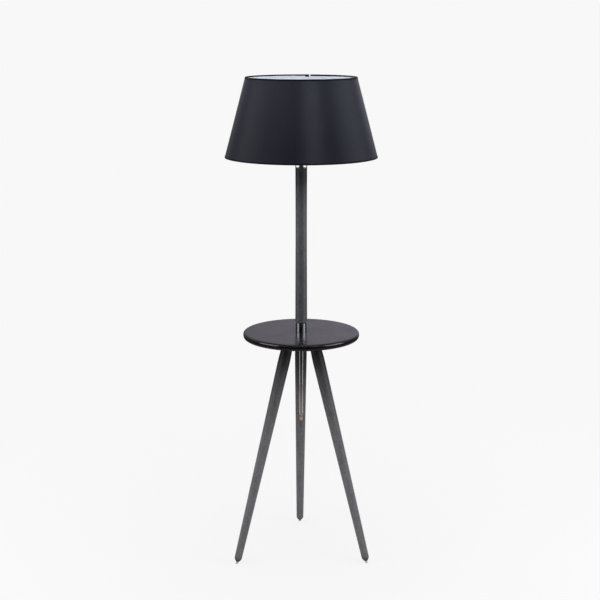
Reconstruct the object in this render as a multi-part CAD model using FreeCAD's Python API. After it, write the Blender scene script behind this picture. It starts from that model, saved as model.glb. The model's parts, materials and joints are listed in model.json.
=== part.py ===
import FreeCAD, Part
import math
import os

from FreeCAD import Vector, Placement, Rotation

# Floor lamp with a round table part way up a turned post, standing on three
# splayed legs.  Millimetres, +Z up, origin on the floor at the lamp's axis.
# One leg points to +Y (the rear), the other two to the front left and right.

# ---------------------------------------------------------------- dimensions
# shade
SHADE_TOP_Z = 1458.7
SHADE_BOTTOM_Z = 1226.3
SHADE_TOP_R = 163.4
SHADE_BOTTOM_R = 225.0
COVER_T = 0.8
LINER_T = 0.9
TAPE_T = 0.4
TAPE_OUT_H = 4.5
TAPE_IN_H = 4.0
TAPE_GAP_AZ = 79.7          # butt joint of the edge tape, degrees
TAPE_GAP_DEG = 1.6
TAPE_GAP_LOW_DEG = 0.25     # the lower tape's joint is almost closed
RING_WIRE_R = 1.5
ARM_WIRE_R = 1.6
ARM_AZ = (51.7, 171.7, 291.7)
FITTER_IN_R = 20.0
FITTER_OUT_R = 30.0
FITTER_T = 1.0

# lampholder
HOLDER_Z = 1199.0           # underside of its stem
STEM_R = 6.5
HOLDER_R = 19.5
FLANGE_R = 22.0
FLANGE_Z = 1230.0
FLANGE_T = 2.0
SKIRT_TOP_Z = 1262.0
SKIRT_IN_R = 16.6
SWITCH_Z = 1217.0
SWITCH_Y = 8.0
SWITCH_BAR_R = 3.0
SWITCH_TRAVEL = 5.0

# post, collar and the pipe that ties them to the table
POST_TOP_Z = 1192.5
POST_BOTTOM_Z = 729.0
POST_TOP_R = 17.4
POST_WAIST_R = 16.9
POST_WAIST_Z = 990.0
POST_BOTTOM_R = 17.9
CAP_T = 2.5
CAP_EAR_T = 2.6             # two upturned ears of the cap, left and right
CAP_EAR_W = 11.0
CAP_EAR_TOP = 1206.8
COLLAR_R = 17.2
COLLAR_TOP_Z = 726.5
SEAL_T = 0.6
RECESS_R = 17.5             # shallow recess in the table that centres the collar
RECESS_T = 0.5
PIPE_R = 5.0                # M10 x 1 threaded pipe, outside
PIPE_BORE_R = 3.8
PIPE_BOTTOM_Z = 650.0
PIPE_TOP_Z = 1206.0
PIPE_HOLE_R = 5.3

# table
TABLE_TOP_Z = 699.5
TABLE_T = 19.5
TABLE_R = 175.0
TABLE_TOP_ROUND = 6.5
TABLE_LOW_ROUND = 9.5

# legs
LEG_AZ = {"front_left": 210.0, "front_right": 330.0, "rear": 90.0}
LEG_FOOT_CIRCLE = 225.5     # centre of the rounded foot end
LEG_FOOT_Z = 10.33
LEG_TOP_CIRCLE = 42.5       # leg axis where it would meet the table
LEG_FOOT_R = 11.1
LEG_TOP_R = 19.1
LEG_NECK = 66.0              # length over which the leg draws in below its seat
LEG_NECK_IN = 3.8
LEG_SEAT_Z = 668.0          # centre of the leg's upper end face
GLIDE_R = 4.0

# hub under the table
HUB_R = 72.0
HUB_T = 4.0
BOSS_R = 13.5
HUB_SCREW_CIRCLE = 60.0
HUB_SCREW_AZ = (8.0, 52.0, 128.0, 172.0, 248.0, 292.0)
BOLT_R = 4.0

# tube that leads the supply cord down between the legs
TUBE_R = 6.6
TUBE_WALL = 0.8
TUBE_TOP_Z = 664.4
TUBE_BOTTOM_Z = 443.0
OUTLET_Z = 419.5
OUTLET_BORE_R = 3.2

TABLE_LOW_Z = TABLE_TOP_Z - TABLE_T
HUB_LOW_Z = TABLE_LOW_Z - HUB_T

os.makedirs("parts", exist_ok=True)
made = []


def save(shape, name):
    shape.exportStep("parts/%s.step" % name)
    bad = [i for i, s in enumerate(shape.Solids) if not (s.isValid() and s.isClosed())]
    made.append(name)
    print("%-22s solids %d  volume %.1f mm3%s"
          % (name, len(shape.Solids), shape.Volume, "  BAD %s" % bad if bad else ""))


def profile(start, *segs):
    """Closed face in the XZ plane.  A segment is (r, z) for a line to it, or
    (r, z, rm, zm) for an arc to it through the point (rm, zm)."""
    edges = []
    p = Vector(start[0], 0, start[1])
    first = p
    for s in segs:
        q = Vector(s[0], 0, s[1])
        if len(s) == 2:
            edges.append(Part.LineSegment(p, q).toShape())
        else:
            edges.append(Part.Arc(p, Vector(s[2], 0, s[3]), q).toShape())
        p = q
    if p.distanceToPoint(first) > 1e-7:
        edges.append(Part.LineSegment(p, first).toShape())
    return Part.Face(Part.Wire(edges))


def spin(start, *segs, angle=360.0):
    return profile(start, *segs).revolve(Vector(0, 0, 0), Vector(0, 0, 1), angle)


def cyl(r, z0, z1, x=0.0, y=0.0):
    return Part.makeCylinder(r, z1 - z0, Vector(x, y, z0), Vector(0, 0, 1))


def tube(ro, ri, z0, z1):
    return spin((ri, z0), (ro, z0), (ro, z1), (ri, z1))


def hexagon(flats, z0, z1):
    rc = flats / math.sqrt(3.0)
    pts = [Vector(rc * math.cos(math.radians(60 * i)), rc * math.sin(math.radians(60 * i)), z0)
           for i in range(7)]
    body = Part.Face(Part.makePolygon(pts)).extrude(Vector(0, 0, z1 - z0))
    # the corners are turned off at 30 degrees, top and bottom
    c = (rc - flats / 2.0) * math.tan(math.radians(30))
    turned = spin((0, z0), (flats / 2.0, z0), (rc + 0.01, z0 + c), (rc + 0.01, z1 - c),
                  (flats / 2.0, z1), (0, z1))
    return body.common(turned)


def polar(r, az, z):
    a = math.radians(az)
    return Vector(r * math.cos(a), r * math.sin(a), z)


# ---------------------------------------------------------------- legs
LEG_RUN = LEG_FOOT_CIRCLE - LEG_TOP_CIRCLE
LEG_RISE = TABLE_LOW_Z - LEG_FOOT_Z
LEG_LEN = math.hypot(LEG_RUN, LEG_RISE)
LEG_COS = LEG_RISE / LEG_LEN
LEG_SIN = LEG_RUN / LEG_LEN
SEAT_S = (LEG_SEAT_Z - LEG_FOOT_Z) / LEG_COS


def leg_place(az):
    """Local +Z runs up the leg from the centre of its rounded foot end."""
    d = polar(-LEG_SIN, az, LEG_COS)
    return Placement(polar(LEG_FOOT_CIRCLE, az, LEG_FOOT_Z), Rotation(Vector(0, 0, 1), d))


def leg_radius(s):
    r = LEG_FOOT_R + (LEG_TOP_R - LEG_FOOT_R) * s / LEG_LEN
    near = max(0.0, LEG_NECK - (SEAT_S - s)) / LEG_NECK
    return r - LEG_NECK_IN * near * near


def placed(shape, az):
    s = shape.copy()
    s.Placement = leg_place(az).multiply(s.Placement)
    return s


TIP_S = 6.6                 # the foot runs to a blunt tip below this
END_S = -4.4
END_R = 4.2
rt = leg_radius(SEAT_S)
leg_local = spin((0, END_S), (END_R, END_S),
                 (leg_radius(TIP_S), TIP_S, 8.7, 1.0),
                 (leg_radius(SEAT_S - LEG_NECK), SEAT_S - LEG_NECK),
                 (leg_radius(SEAT_S - 1.2), SEAT_S - 1.2,
                  leg_radius(SEAT_S - LEG_NECK / 2), SEAT_S - LEG_NECK / 2),
                 (rt - 1.2, SEAT_S), (0, SEAT_S))
leg_local = leg_local.cut(cyl(BOLT_R + 0.05, SEAT_S - 46.0, SEAT_S + 1.0))
leg_local = leg_local.cut(cyl(1.05, END_S - 1.0, 8.0))

glide_local = spin((0, END_S), (GLIDE_R, END_S), (GLIDE_R, END_S - 9.0), (0, END_S - 9.0))
glide_local = glide_local.cut(cyl(1.0, END_S - 1.6, END_S + 1.0))
below_floor = Part.makeBox(1200, 1200, 50, Vector(-600, -600, -50))
pin_local = cyl(1.0, END_S - 1.6, 7.5)
bolt_local = spin((0, SEAT_S - 45.0), (BOLT_R - 2.6, SEAT_S - 45.0), (BOLT_R, SEAT_S - 38.0),
                  (BOLT_R, (677.0 - LEG_FOOT_Z) / LEG_COS - 0.8),
                  (BOLT_R - 0.8, (677.0 - LEG_FOOT_Z) / LEG_COS),
                  (0, (677.0 - LEG_FOOT_Z) / LEG_COS))

pins, bolts = [], []
for where, az in LEG_AZ.items():
    save(placed(leg_local, az), "leg_" + where)
    save(placed(glide_local, az).cut(below_floor), "glide_" + where)
    pins.append(placed(pin_local, az))
    bolts.append(placed(bolt_local, az))
save(Part.makeCompound(pins), "glide_pins")
save(Part.makeCompound(bolts), "leg_bolts")

# ---------------------------------------------------------------- hub
hub = cyl(HUB_R, HUB_LOW_Z, TABLE_LOW_Z)
for az in LEG_AZ.values():
    boss = Part.makeCylinder(BOSS_R, 30.0, Vector(0, 0, SEAT_S), Vector(0, 0, 1))
    hub = hub.fuse(placed(boss, az).cut(
        Part.makeBox(400, 400, 60, Vector(-200, -200, TABLE_LOW_Z))))
for az in LEG_AZ.values():
    hole = Part.makeCylinder(BOLT_R + 0.02, 60.0, Vector(0, 0, SEAT_S - 20.0), Vector(0, 0, 1))
    hub = hub.cut(placed(hole, az))
hub = hub.cut(cyl(PIPE_HOLE_R, HUB_LOW_Z - 1, TABLE_LOW_Z + 1))
for az in HUB_SCREW_AZ:
    p = polar(HUB_SCREW_CIRCLE, az, 0)
    hub = hub.cut(cyl(2.2, HUB_LOW_Z - 1, TABLE_LOW_Z + 1, p.x, p.y))
hub = hub.removeSplitter()
save(hub, "leg_hub")

screws = []
for az in HUB_SCREW_AZ:
    p = polar(HUB_SCREW_CIRCLE, az, 0)
    s = spin((0, HUB_LOW_Z - 2.4), (2.2, HUB_LOW_Z - 2.4),
             (4.0, HUB_LOW_Z - 1.0, 3.45, HUB_LOW_Z - 2.0), (4.0, HUB_LOW_Z),
             (1.9, HUB_LOW_Z), (1.9, HUB_LOW_Z + 12.5), (0, HUB_LOW_Z + 15.5))
    # cross recess in the head
    for turn in (0, 90):
        b = Part.makeBox(4.4, 0.8, 1.3, Vector(-2.2, -0.4, HUB_LOW_Z - 2.5))
        b.rotate(Vector(0, 0, 0), Vector(0, 0, 1), turn)
        s = s.cut(b)
    s.translate(Vector(p.x, p.y, 0))
    screws.append(s)
save(Part.makeCompound(screws), "hub_screws")

# ---------------------------------------------------------------- table
k = 1.0 - math.sqrt(0.5)
top = spin((0, TABLE_LOW_Z), (TABLE_R - TABLE_LOW_ROUND, TABLE_LOW_Z),
           (TABLE_R, TABLE_LOW_Z + TABLE_LOW_ROUND,
            TABLE_R - TABLE_LOW_ROUND * k, TABLE_LOW_Z + TABLE_LOW_ROUND * k),
           (TABLE_R, TABLE_TOP_Z - TABLE_TOP_ROUND),
           (TABLE_R - TABLE_TOP_ROUND, TABLE_TOP_Z,
            TABLE_R - TABLE_TOP_ROUND * k, TABLE_TOP_Z - TABLE_TOP_ROUND * k),
           (0, TABLE_TOP_Z))
top = top.cut(cyl(PIPE_HOLE_R, TABLE_LOW_Z - 1, TABLE_TOP_Z + 1))
top = top.cut(cyl(RECESS_R, TABLE_TOP_Z - RECESS_T, TABLE_TOP_Z + 1))
for az in HUB_SCREW_AZ:
    p = polar(HUB_SCREW_CIRCLE, az, 0)
    top = top.cut(cyl(1.95, TABLE_LOW_Z - 1, TABLE_LOW_Z + 12.5, p.x, p.y))
save(top, "tabletop")

# ---------------------------------------------------------------- clamp below the hub
WASHER_Z = HUB_LOW_Z - 1.6
NUT_Z = WASHER_Z - 6.0
save(tube(12.0, 5.2, WASHER_Z, HUB_LOW_Z), "hub_washer")
save(hexagon(17.0, NUT_Z, WASHER_Z).cut(cyl(PIPE_R + 0.02, NUT_Z - 1, WASHER_Z + 1)), "hub_nut")
save(spin((PIPE_R + 0.02, TUBE_TOP_Z - 20.0), (TUBE_R - TUBE_WALL - 0.02, TUBE_TOP_Z - 20.0),
          (TUBE_R - TUBE_WALL - 0.02, TUBE_TOP_Z), (9.5, TUBE_TOP_Z), (10.0, TUBE_TOP_Z + 0.5),
          (10.0, NUT_Z - 0.5), (9.5, NUT_Z), (PIPE_R + 0.02, NUT_Z)), "tube_coupler")

# ---------------------------------------------------------------- cord tube and its outlet
save(tube(TUBE_R, TUBE_R - TUBE_WALL, TUBE_BOTTOM_Z, TUBE_TOP_Z), "cord_tube")
ECAP_LOW = TUBE_BOTTOM_Z - 7.5
save(spin((5.02, ECAP_LOW), (5.5, ECAP_LOW), (6.0, ECAP_LOW + 0.5), (TUBE_R, TUBE_BOTTOM_Z - 2.0),
          (TUBE_R, TUBE_BOTTOM_Z), (TUBE_R - TUBE_WALL - 0.02, TUBE_BOTTOM_Z),
          (TUBE_R - TUBE_WALL - 0.02, TUBE_BOTTOM_Z + 10.0), (5.02, TUBE_BOTTOM_Z + 10.0)),
     "tube_end_cap")
NIP_LOW = ECAP_LOW - 6.0
save(spin((4.02, NIP_LOW), (4.7, NIP_LOW), (5.0, NIP_LOW + 0.3), (5.0, TUBE_BOTTOM_Z + 3.0),
          (4.02, TUBE_BOTTOM_Z + 3.0)), "outlet_nipple")
save(spin((OUTLET_BORE_R + 0.5, OUTLET_Z), (3.9, OUTLET_Z), (4.4, OUTLET_Z + 0.8, 4.25, OUTLET_Z + 0.25),
          (4.7, NIP_LOW), (4.0, NIP_LOW), (4.0, ECAP_LOW + 6.0), (OUTLET_BORE_R, ECAP_LOW + 6.0),
          (OUTLET_BORE_R, OUTLET_Z + 0.8)), "outlet_bushing")

# ---------------------------------------------------------------- pipe
save(tube(PIPE_R, PIPE_BORE_R, PIPE_BOTTOM_Z, PIPE_TOP_Z), "lamp_pipe")

# ---------------------------------------------------------------- collar and post
SEAL_LOW = TABLE_TOP_Z - RECESS_T
SEAL_TOP = SEAL_LOW + SEAL_T
save(tube(15.8, PIPE_HOLE_R, SEAL_LOW, SEAL_TOP), "collar_seal")
save(spin((13.6, SEAL_TOP), (COLLAR_R - 0.5, SEAL_TOP), (COLLAR_R, SEAL_TOP + 0.5),
          (COLLAR_R, COLLAR_TOP_Z - 0.7), (COLLAR_R - 0.7, COLLAR_TOP_Z), (9.0, COLLAR_TOP_Z),
          (9.0, COLLAR_TOP_Z + 8.0), (PIPE_HOLE_R, COLLAR_TOP_Z + 8.0),
          (PIPE_HOLE_R, COLLAR_TOP_Z - 5.0), (13.6, COLLAR_TOP_Z - 5.0)), "collar")
save(tube(15.5, 9.05, COLLAR_TOP_Z, POST_BOTTOM_Z), "collar_spacer")
post = spin((0, POST_BOTTOM_Z), (POST_BOTTOM_R - 0.9, POST_BOTTOM_Z),
            (POST_BOTTOM_R, POST_BOTTOM_Z + 0.9), (POST_WAIST_R, POST_WAIST_Z),
            (POST_TOP_R, POST_TOP_Z - 0.8, POST_WAIST_R + 0.09, (POST_WAIST_Z + POST_TOP_Z) / 2),
            (POST_TOP_R - 0.8, POST_TOP_Z), (0, POST_TOP_Z))
post = post.cut(cyl(5.4, POST_BOTTOM_Z - 1, POST_TOP_Z + 1))
post = post.cut(cyl(9.05, POST_BOTTOM_Z - 1, COLLAR_TOP_Z + 8.5))
save(post, "post")
CAP_TOP = POST_TOP_Z + CAP_T
cap = spin((5.2, POST_TOP_Z), (POST_TOP_R, POST_TOP_Z), (POST_TOP_R, CAP_TOP - 0.5),
           (POST_TOP_R - 0.5, CAP_TOP), (5.2, CAP_TOP))
for sx in (-1, 1):
    x0 = POST_TOP_R - CAP_EAR_T if sx > 0 else -POST_TOP_R
    ear = Part.makeBox(CAP_EAR_T, CAP_EAR_W, CAP_EAR_TOP - POST_TOP_Z - 0.5,
                       Vector(x0, -CAP_EAR_W / 2, POST_TOP_Z + 0.5))
    cap = cap.fuse(ear.common(cyl(POST_TOP_R, POST_TOP_Z, CAP_EAR_TOP + 1)))
save(cap.removeSplitter(), "post_cap")
save(spin((PIPE_R + 0.02, CAP_TOP), (6.2, CAP_TOP), (6.5, CAP_TOP + 0.3), (6.5, HOLDER_Z - 0.3),
          (6.2, HOLDER_Z), (PIPE_R + 0.02, HOLDER_Z)), "lock_nut")

# ---------------------------------------------------------------- lampholder
base = spin((PIPE_R + 0.02, HOLDER_Z), (STEM_R, HOLDER_Z), (STEM_R, HOLDER_Z + 7.0),
            (HOLDER_R - 2.0, HOLDER_Z + 11.0),
            (HOLDER_R, HOLDER_Z + 13.0, HOLDER_R - 0.59, HOLDER_Z + 11.59),
            (HOLDER_R, FLANGE_Z), (HOLDER_R - 2.0, FLANGE_Z), (HOLDER_R - 2.0, HOLDER_Z + 13.2),
            (9.0, HOLDER_Z + 11.0), (PIPE_R + 0.02, HOLDER_Z + 9.6))
xbar = Part.makeCylinder(SWITCH_BAR_R + 0.08, 60.0, Vector(-30, SWITCH_Y, SWITCH_Z), Vector(1, 0, 0))
base = base.cut(xbar)
# grub screw hole in the stem, from the back
base = base.cut(Part.makeCylinder(1.27, 4.0, Vector(0, 4.0, HOLDER_Z + 3.5), Vector(0, 1, 0)))
save(base, "lampholder_base")
save(Part.makeCylinder(1.25, 2.0, Vector(0, 5.03, HOLDER_Z + 3.5), Vector(0, 1, 0)).cut(
    Part.makeBox(0.5, 1.0, 2.0, Vector(-0.25, 6.4, HOLDER_Z + 2.5))), "stem_screw")

skirt = spin((15.0, FLANGE_Z), (FLANGE_R - 0.4, FLANGE_Z), (FLANGE_R, FLANGE_Z + 0.4),
             (FLANGE_R, FLANGE_Z + FLANGE_T), (HOLDER_R, FLANGE_Z + FLANGE_T),
             (HOLDER_R, SKIRT_TOP_Z - 1.0), (HOLDER_R - 1.0, SKIRT_TOP_Z),
             (SKIRT_IN_R, SKIRT_TOP_Z), (SKIRT_IN_R, FLANGE_Z + FLANGE_T), (15.0, FLANGE_Z + FLANGE_T))
save(skirt, "lampholder_skirt")

INSERT_Z = FLANGE_Z + FLANGE_T
INSERT_TOP = INSERT_Z + 8.0
save(spin((0, INSERT_Z), (16.4, INSERT_Z), (16.4, INSERT_TOP), (0, INSERT_TOP)), "lampholder_insert")
save(tube(14.2, 13.5, INSERT_TOP, INSERT_TOP + 18.0), "screw_shell")
save(spin((0, INSERT_TOP), (4.0, INSERT_TOP), (4.0, INSERT_TOP + 0.8), (1.6, INSERT_TOP + 1.6),
          (0, INSERT_TOP + 1.6)), "centre_contact")
terms = []
for x in (-8.0, 8.0):
    t = spin((0, INSERT_Z - 4.0), (2.4, INSERT_Z - 4.0), (2.4, INSERT_Z - 2.4), (1.5, INSERT_Z - 2.4),
             (1.5, INSERT_Z), (0, INSERT_Z))
    t = t.cut(Part.makeBox(6, 0.7, 1.0, Vector(-3, -0.35, INSERT_Z - 4.2)))
    t.translate(Vector(x, -7.0, 0))
    terms.append(t)
save(Part.makeCompound(terms), "terminal_screws")

CLAMP_Z = INSERT_Z + 0.3 + FITTER_T + 0.3
clamp = spin((HOLDER_R + 0.05, CLAMP_Z), (24.0, CLAMP_Z), (24.0, CLAMP_Z + 2.0), (23.2, CLAMP_Z + 6.0),
             (HOLDER_R + 0.05, CLAMP_Z + 6.0))
for i in range(12):
    a = 30.0 * i
    p = polar(25.6, a, 0)
    clamp = clamp.cut(cyl(2.4, CLAMP_Z + 1.2, CLAMP_Z + 7.0, p.x, p.y))
save(clamp, "shade_clamp_ring")

# push bar of the switch, shown off: its -X end stands out
half = 23.5
bar = Part.makeCylinder(SWITCH_BAR_R, 2 * half, Vector(-half - SWITCH_TRAVEL / 2, SWITCH_Y, SWITCH_Z),
                        Vector(1, 0, 0))
for x0 in (-half - SWITCH_TRAVEL / 2, half - SWITCH_TRAVEL / 2 - 1.5):
    bar = bar.fuse(Part.makeCylinder(3.8, 1.5, Vector(x0, SWITCH_Y, SWITCH_Z), Vector(1, 0, 0)))
save(bar.removeSplitter(), "switch_bar")
bridge = Part.makeCylinder(4.6, 3.0, Vector(-1.5, SWITCH_Y, SWITCH_Z), Vector(1, 0, 0)).cut(
    Part.makeCylinder(SWITCH_BAR_R + 0.01, 5.0, Vector(-2.5, SWITCH_Y, SWITCH_Z), Vector(1, 0, 0)))
save(bridge, "switch_bridge")
plate = Part.makeBox(0.8, 7.4, INSERT_Z - 1213.0, Vector(7.0, SWITCH_Y - 4.2, 1213.0))
plate = plate.cut(Part.makeBox(2.0, 6.8, 8.0, Vector(6.5, SWITCH_Y - 3.4, 1212.5)))
save(plate, "switch_contact")

# ---------------------------------------------------------------- bulb, A60 on an E27 cap
BC = INSERT_TOP + 1.6       # tip of the cap
save(spin((12.7, BC + 3.4), (13.1, BC + 3.4), (13.1, BC + 22.0), (12.7, BC + 22.0)), "bulb_screw_cap")
save(spin((0, BC + 1.2), (5.0, BC + 1.2), (12.6, BC + 3.6), (12.6, BC + 5.0), (0, BC + 5.0)),
     "bulb_insulator")
save(spin((0, BC), (2.0, BC), (4.4, BC + 0.6), (4.4, BC + 1.2), (0, BC + 1.2)), "bulb_contact")
save(spin((11.2, BC + 6.0), (12.6, BC + 6.0), (12.6, BC + 22.0), (13.4, BC + 22.0),
          (15.6, BC + 30.0), (28.6, BC + 57.0, 21.4, BC + 43.5), (27.0, BC + 57.0),
          (27.0, BC + 54.0), (24.6, BC + 54.0), (14.0, BC + 31.0, 19.6, BC + 42.5), (11.2, BC + 24.0)),
     "bulb_housing")
save(cyl(26.8, BC + 54.0, BC + 55.6), "bulb_led_board")
DZ = BC + 72.0              # the dome is a ball of 30 mm radius about this height
save(spin((28.6, BC + 57.0), (30.0, DZ, 29.68, BC + 64.5),
          (0, DZ + 30.0, 30.0 * math.sqrt(0.5), DZ + 30.0 * math.sqrt(0.5)), (0, DZ + 28.8),
          (28.8, DZ, 28.8 * math.sqrt(0.5), DZ + 28.8 * math.sqrt(0.5)),
          (27.4, BC + 57.0, 28.48, BC + 64.5)), "bulb_diffuser")

# ---------------------------------------------------------------- shade
SLOPE = (SHADE_BOTTOM_R - SHADE_TOP_R) / (SHADE_TOP_Z - SHADE_BOTTOM_Z)
COSC = math.cos(math.atan(SLOPE))


def wall_r(z, depth):
    """Radius of the shade's wall at height z, depth mm in from its outside."""
    return SHADE_BOTTOM_R - SLOPE * (z - SHADE_BOTTOM_Z) - depth / COSC


def shell(z0, z1, d0, d1):
    return spin((wall_r(z0, d1), z0), (wall_r(z0, d0), z0), (wall_r(z1, d0), z1), (wall_r(z1, d1), z1))


Z0 = SHADE_BOTTOM_Z + TAPE_T
Z1 = SHADE_TOP_Z - TAPE_T
save(shell(Z0, Z1, TAPE_T, TAPE_T + COVER_T), "shade_cover")
save(shell(Z0, Z1, TAPE_T + COVER_T, TAPE_T + COVER_T + LINER_T), "shade_liner")
WALL = TAPE_T + COVER_T + LINER_T

zt = Z1 - RING_WIRE_R - 0.05
zb = Z0 + RING_WIRE_R + 0.05
rt_ring = wall_r(zt, WALL) - RING_WIRE_R / COSC - 0.02
rb_ring = wall_r(zb, WALL) - RING_WIRE_R / COSC - 0.02
top_ring = Part.makeTorus(rt_ring, RING_WIRE_R, Vector(0, 0, zt))
bottom_ring = Part.makeTorus(rb_ring, RING_WIRE_R, Vector(0, 0, zb))
save(top_ring, "shade_top_ring")
save(bottom_ring, "shade_bottom_ring")


def tape(zedge, up):
    """Edge tape folded over the rim: outside, across the edge and inside."""
    s = -1.0 if up else 1.0
    zo = zedge + s * TAPE_OUT_H
    zi = zedge + s * TAPE_IN_H
    zin = zedge + s * TAPE_T
    ring_r = rt_ring if up else rb_ring
    inner = ring_r - RING_WIRE_R - 0.05
    pts = [(wall_r(zo, 0), zo), (wall_r(zedge, 0), zedge), (inner - TAPE_T, zedge),
           (inner - TAPE_T, zi), (inner, zi), (inner, zin), (wall_r(zin, TAPE_T), zin),
           (wall_r(zo, TAPE_T), zo)]
    gap = TAPE_GAP_DEG if up else TAPE_GAP_LOW_DEG
    t = spin(*pts, angle=360.0 - gap)
    t.rotate(Vector(0, 0, 0), Vector(0, 0, 1), TAPE_GAP_AZ + gap / 2)
    return t


save(tape(SHADE_TOP_Z, True), "shade_top_tape")

# carrier: a flat ring clamped on the lampholder and three arms to the lower ring
FIT_Z = INSERT_Z + 0.3
fitter = tube(FITTER_OUT_R, FITTER_IN_R, FIT_Z, FIT_Z + FITTER_T)
bottom_tape = tape(SHADE_BOTTOM_Z, False)
arms = []
za = FIT_Z + FITTER_T + ARM_WIRE_R - 0.25
zo = zb + RING_WIRE_R + ARM_WIRE_R - 0.25
for az in ARM_AZ:
    p, q = polar(25.4, az, za), polar(rb_ring + 0.3, az, zo)
    d = q.sub(p)
    arm = Part.makeCylinder(ARM_WIRE_R, d.Length, p, d)
    arms.append(arm.cut(fitter).cut(bottom_ring))
    # the tape is notched where an arm passes over it
    notch = Part.makeCylinder(ARM_WIRE_R + 0.15, d.Length + 5.0, p, d)
    bottom_tape = bottom_tape.cut(notch)
save(bottom_tape, "shade_bottom_tape")
save(fitter, "fitter_ring")
save(Part.makeCompound([s for a in arms for s in a.Solids]), "carrier_arms")

print(len(made), "nodes")
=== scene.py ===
import json
import math
import random

import bmesh
import bpy
import numpy as np
from mathutils import Matrix, Quaternion, Vector

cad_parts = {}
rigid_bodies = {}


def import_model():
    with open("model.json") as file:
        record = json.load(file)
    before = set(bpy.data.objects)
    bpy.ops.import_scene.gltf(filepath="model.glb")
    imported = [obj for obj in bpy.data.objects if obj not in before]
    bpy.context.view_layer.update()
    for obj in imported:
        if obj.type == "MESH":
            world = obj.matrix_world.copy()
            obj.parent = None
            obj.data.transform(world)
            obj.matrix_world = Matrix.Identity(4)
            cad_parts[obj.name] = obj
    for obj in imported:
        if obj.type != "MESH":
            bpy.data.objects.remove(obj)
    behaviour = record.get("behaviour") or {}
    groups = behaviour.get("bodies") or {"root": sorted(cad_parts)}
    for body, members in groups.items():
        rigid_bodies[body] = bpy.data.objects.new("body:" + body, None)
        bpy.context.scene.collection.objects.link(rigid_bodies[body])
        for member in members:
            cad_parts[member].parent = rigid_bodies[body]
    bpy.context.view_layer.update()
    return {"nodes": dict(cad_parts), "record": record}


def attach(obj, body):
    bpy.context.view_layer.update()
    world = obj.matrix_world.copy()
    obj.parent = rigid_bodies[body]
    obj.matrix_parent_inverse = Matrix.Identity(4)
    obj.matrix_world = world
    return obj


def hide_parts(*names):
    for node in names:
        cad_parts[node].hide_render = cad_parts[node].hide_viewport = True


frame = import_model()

scene = bpy.context.scene
nodes = frame["nodes"]
rng = random.Random(7)

# ------------------------------------------------------------------ camera
cam_data = bpy.data.cameras.new("photo_camera")
cam = bpy.data.objects.new("photo_camera", cam_data)
scene.collection.objects.link(cam)
cam.location = (-0.06734, -3.84396, 1.63229)
cam.rotation_euler = (math.pi / 2 - 0.21412, 0.0, -0.016577)
cam_data.lens = 78.49
cam_data.sensor_width = 36.0
cam_data.clip_end = 200.0
scene.camera = cam
scene.view_settings.view_transform = "Standard"
scene.view_settings.look = "None"
scene.view_settings.exposure = 0.0
scene.view_settings.gamma = 1.0


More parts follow.
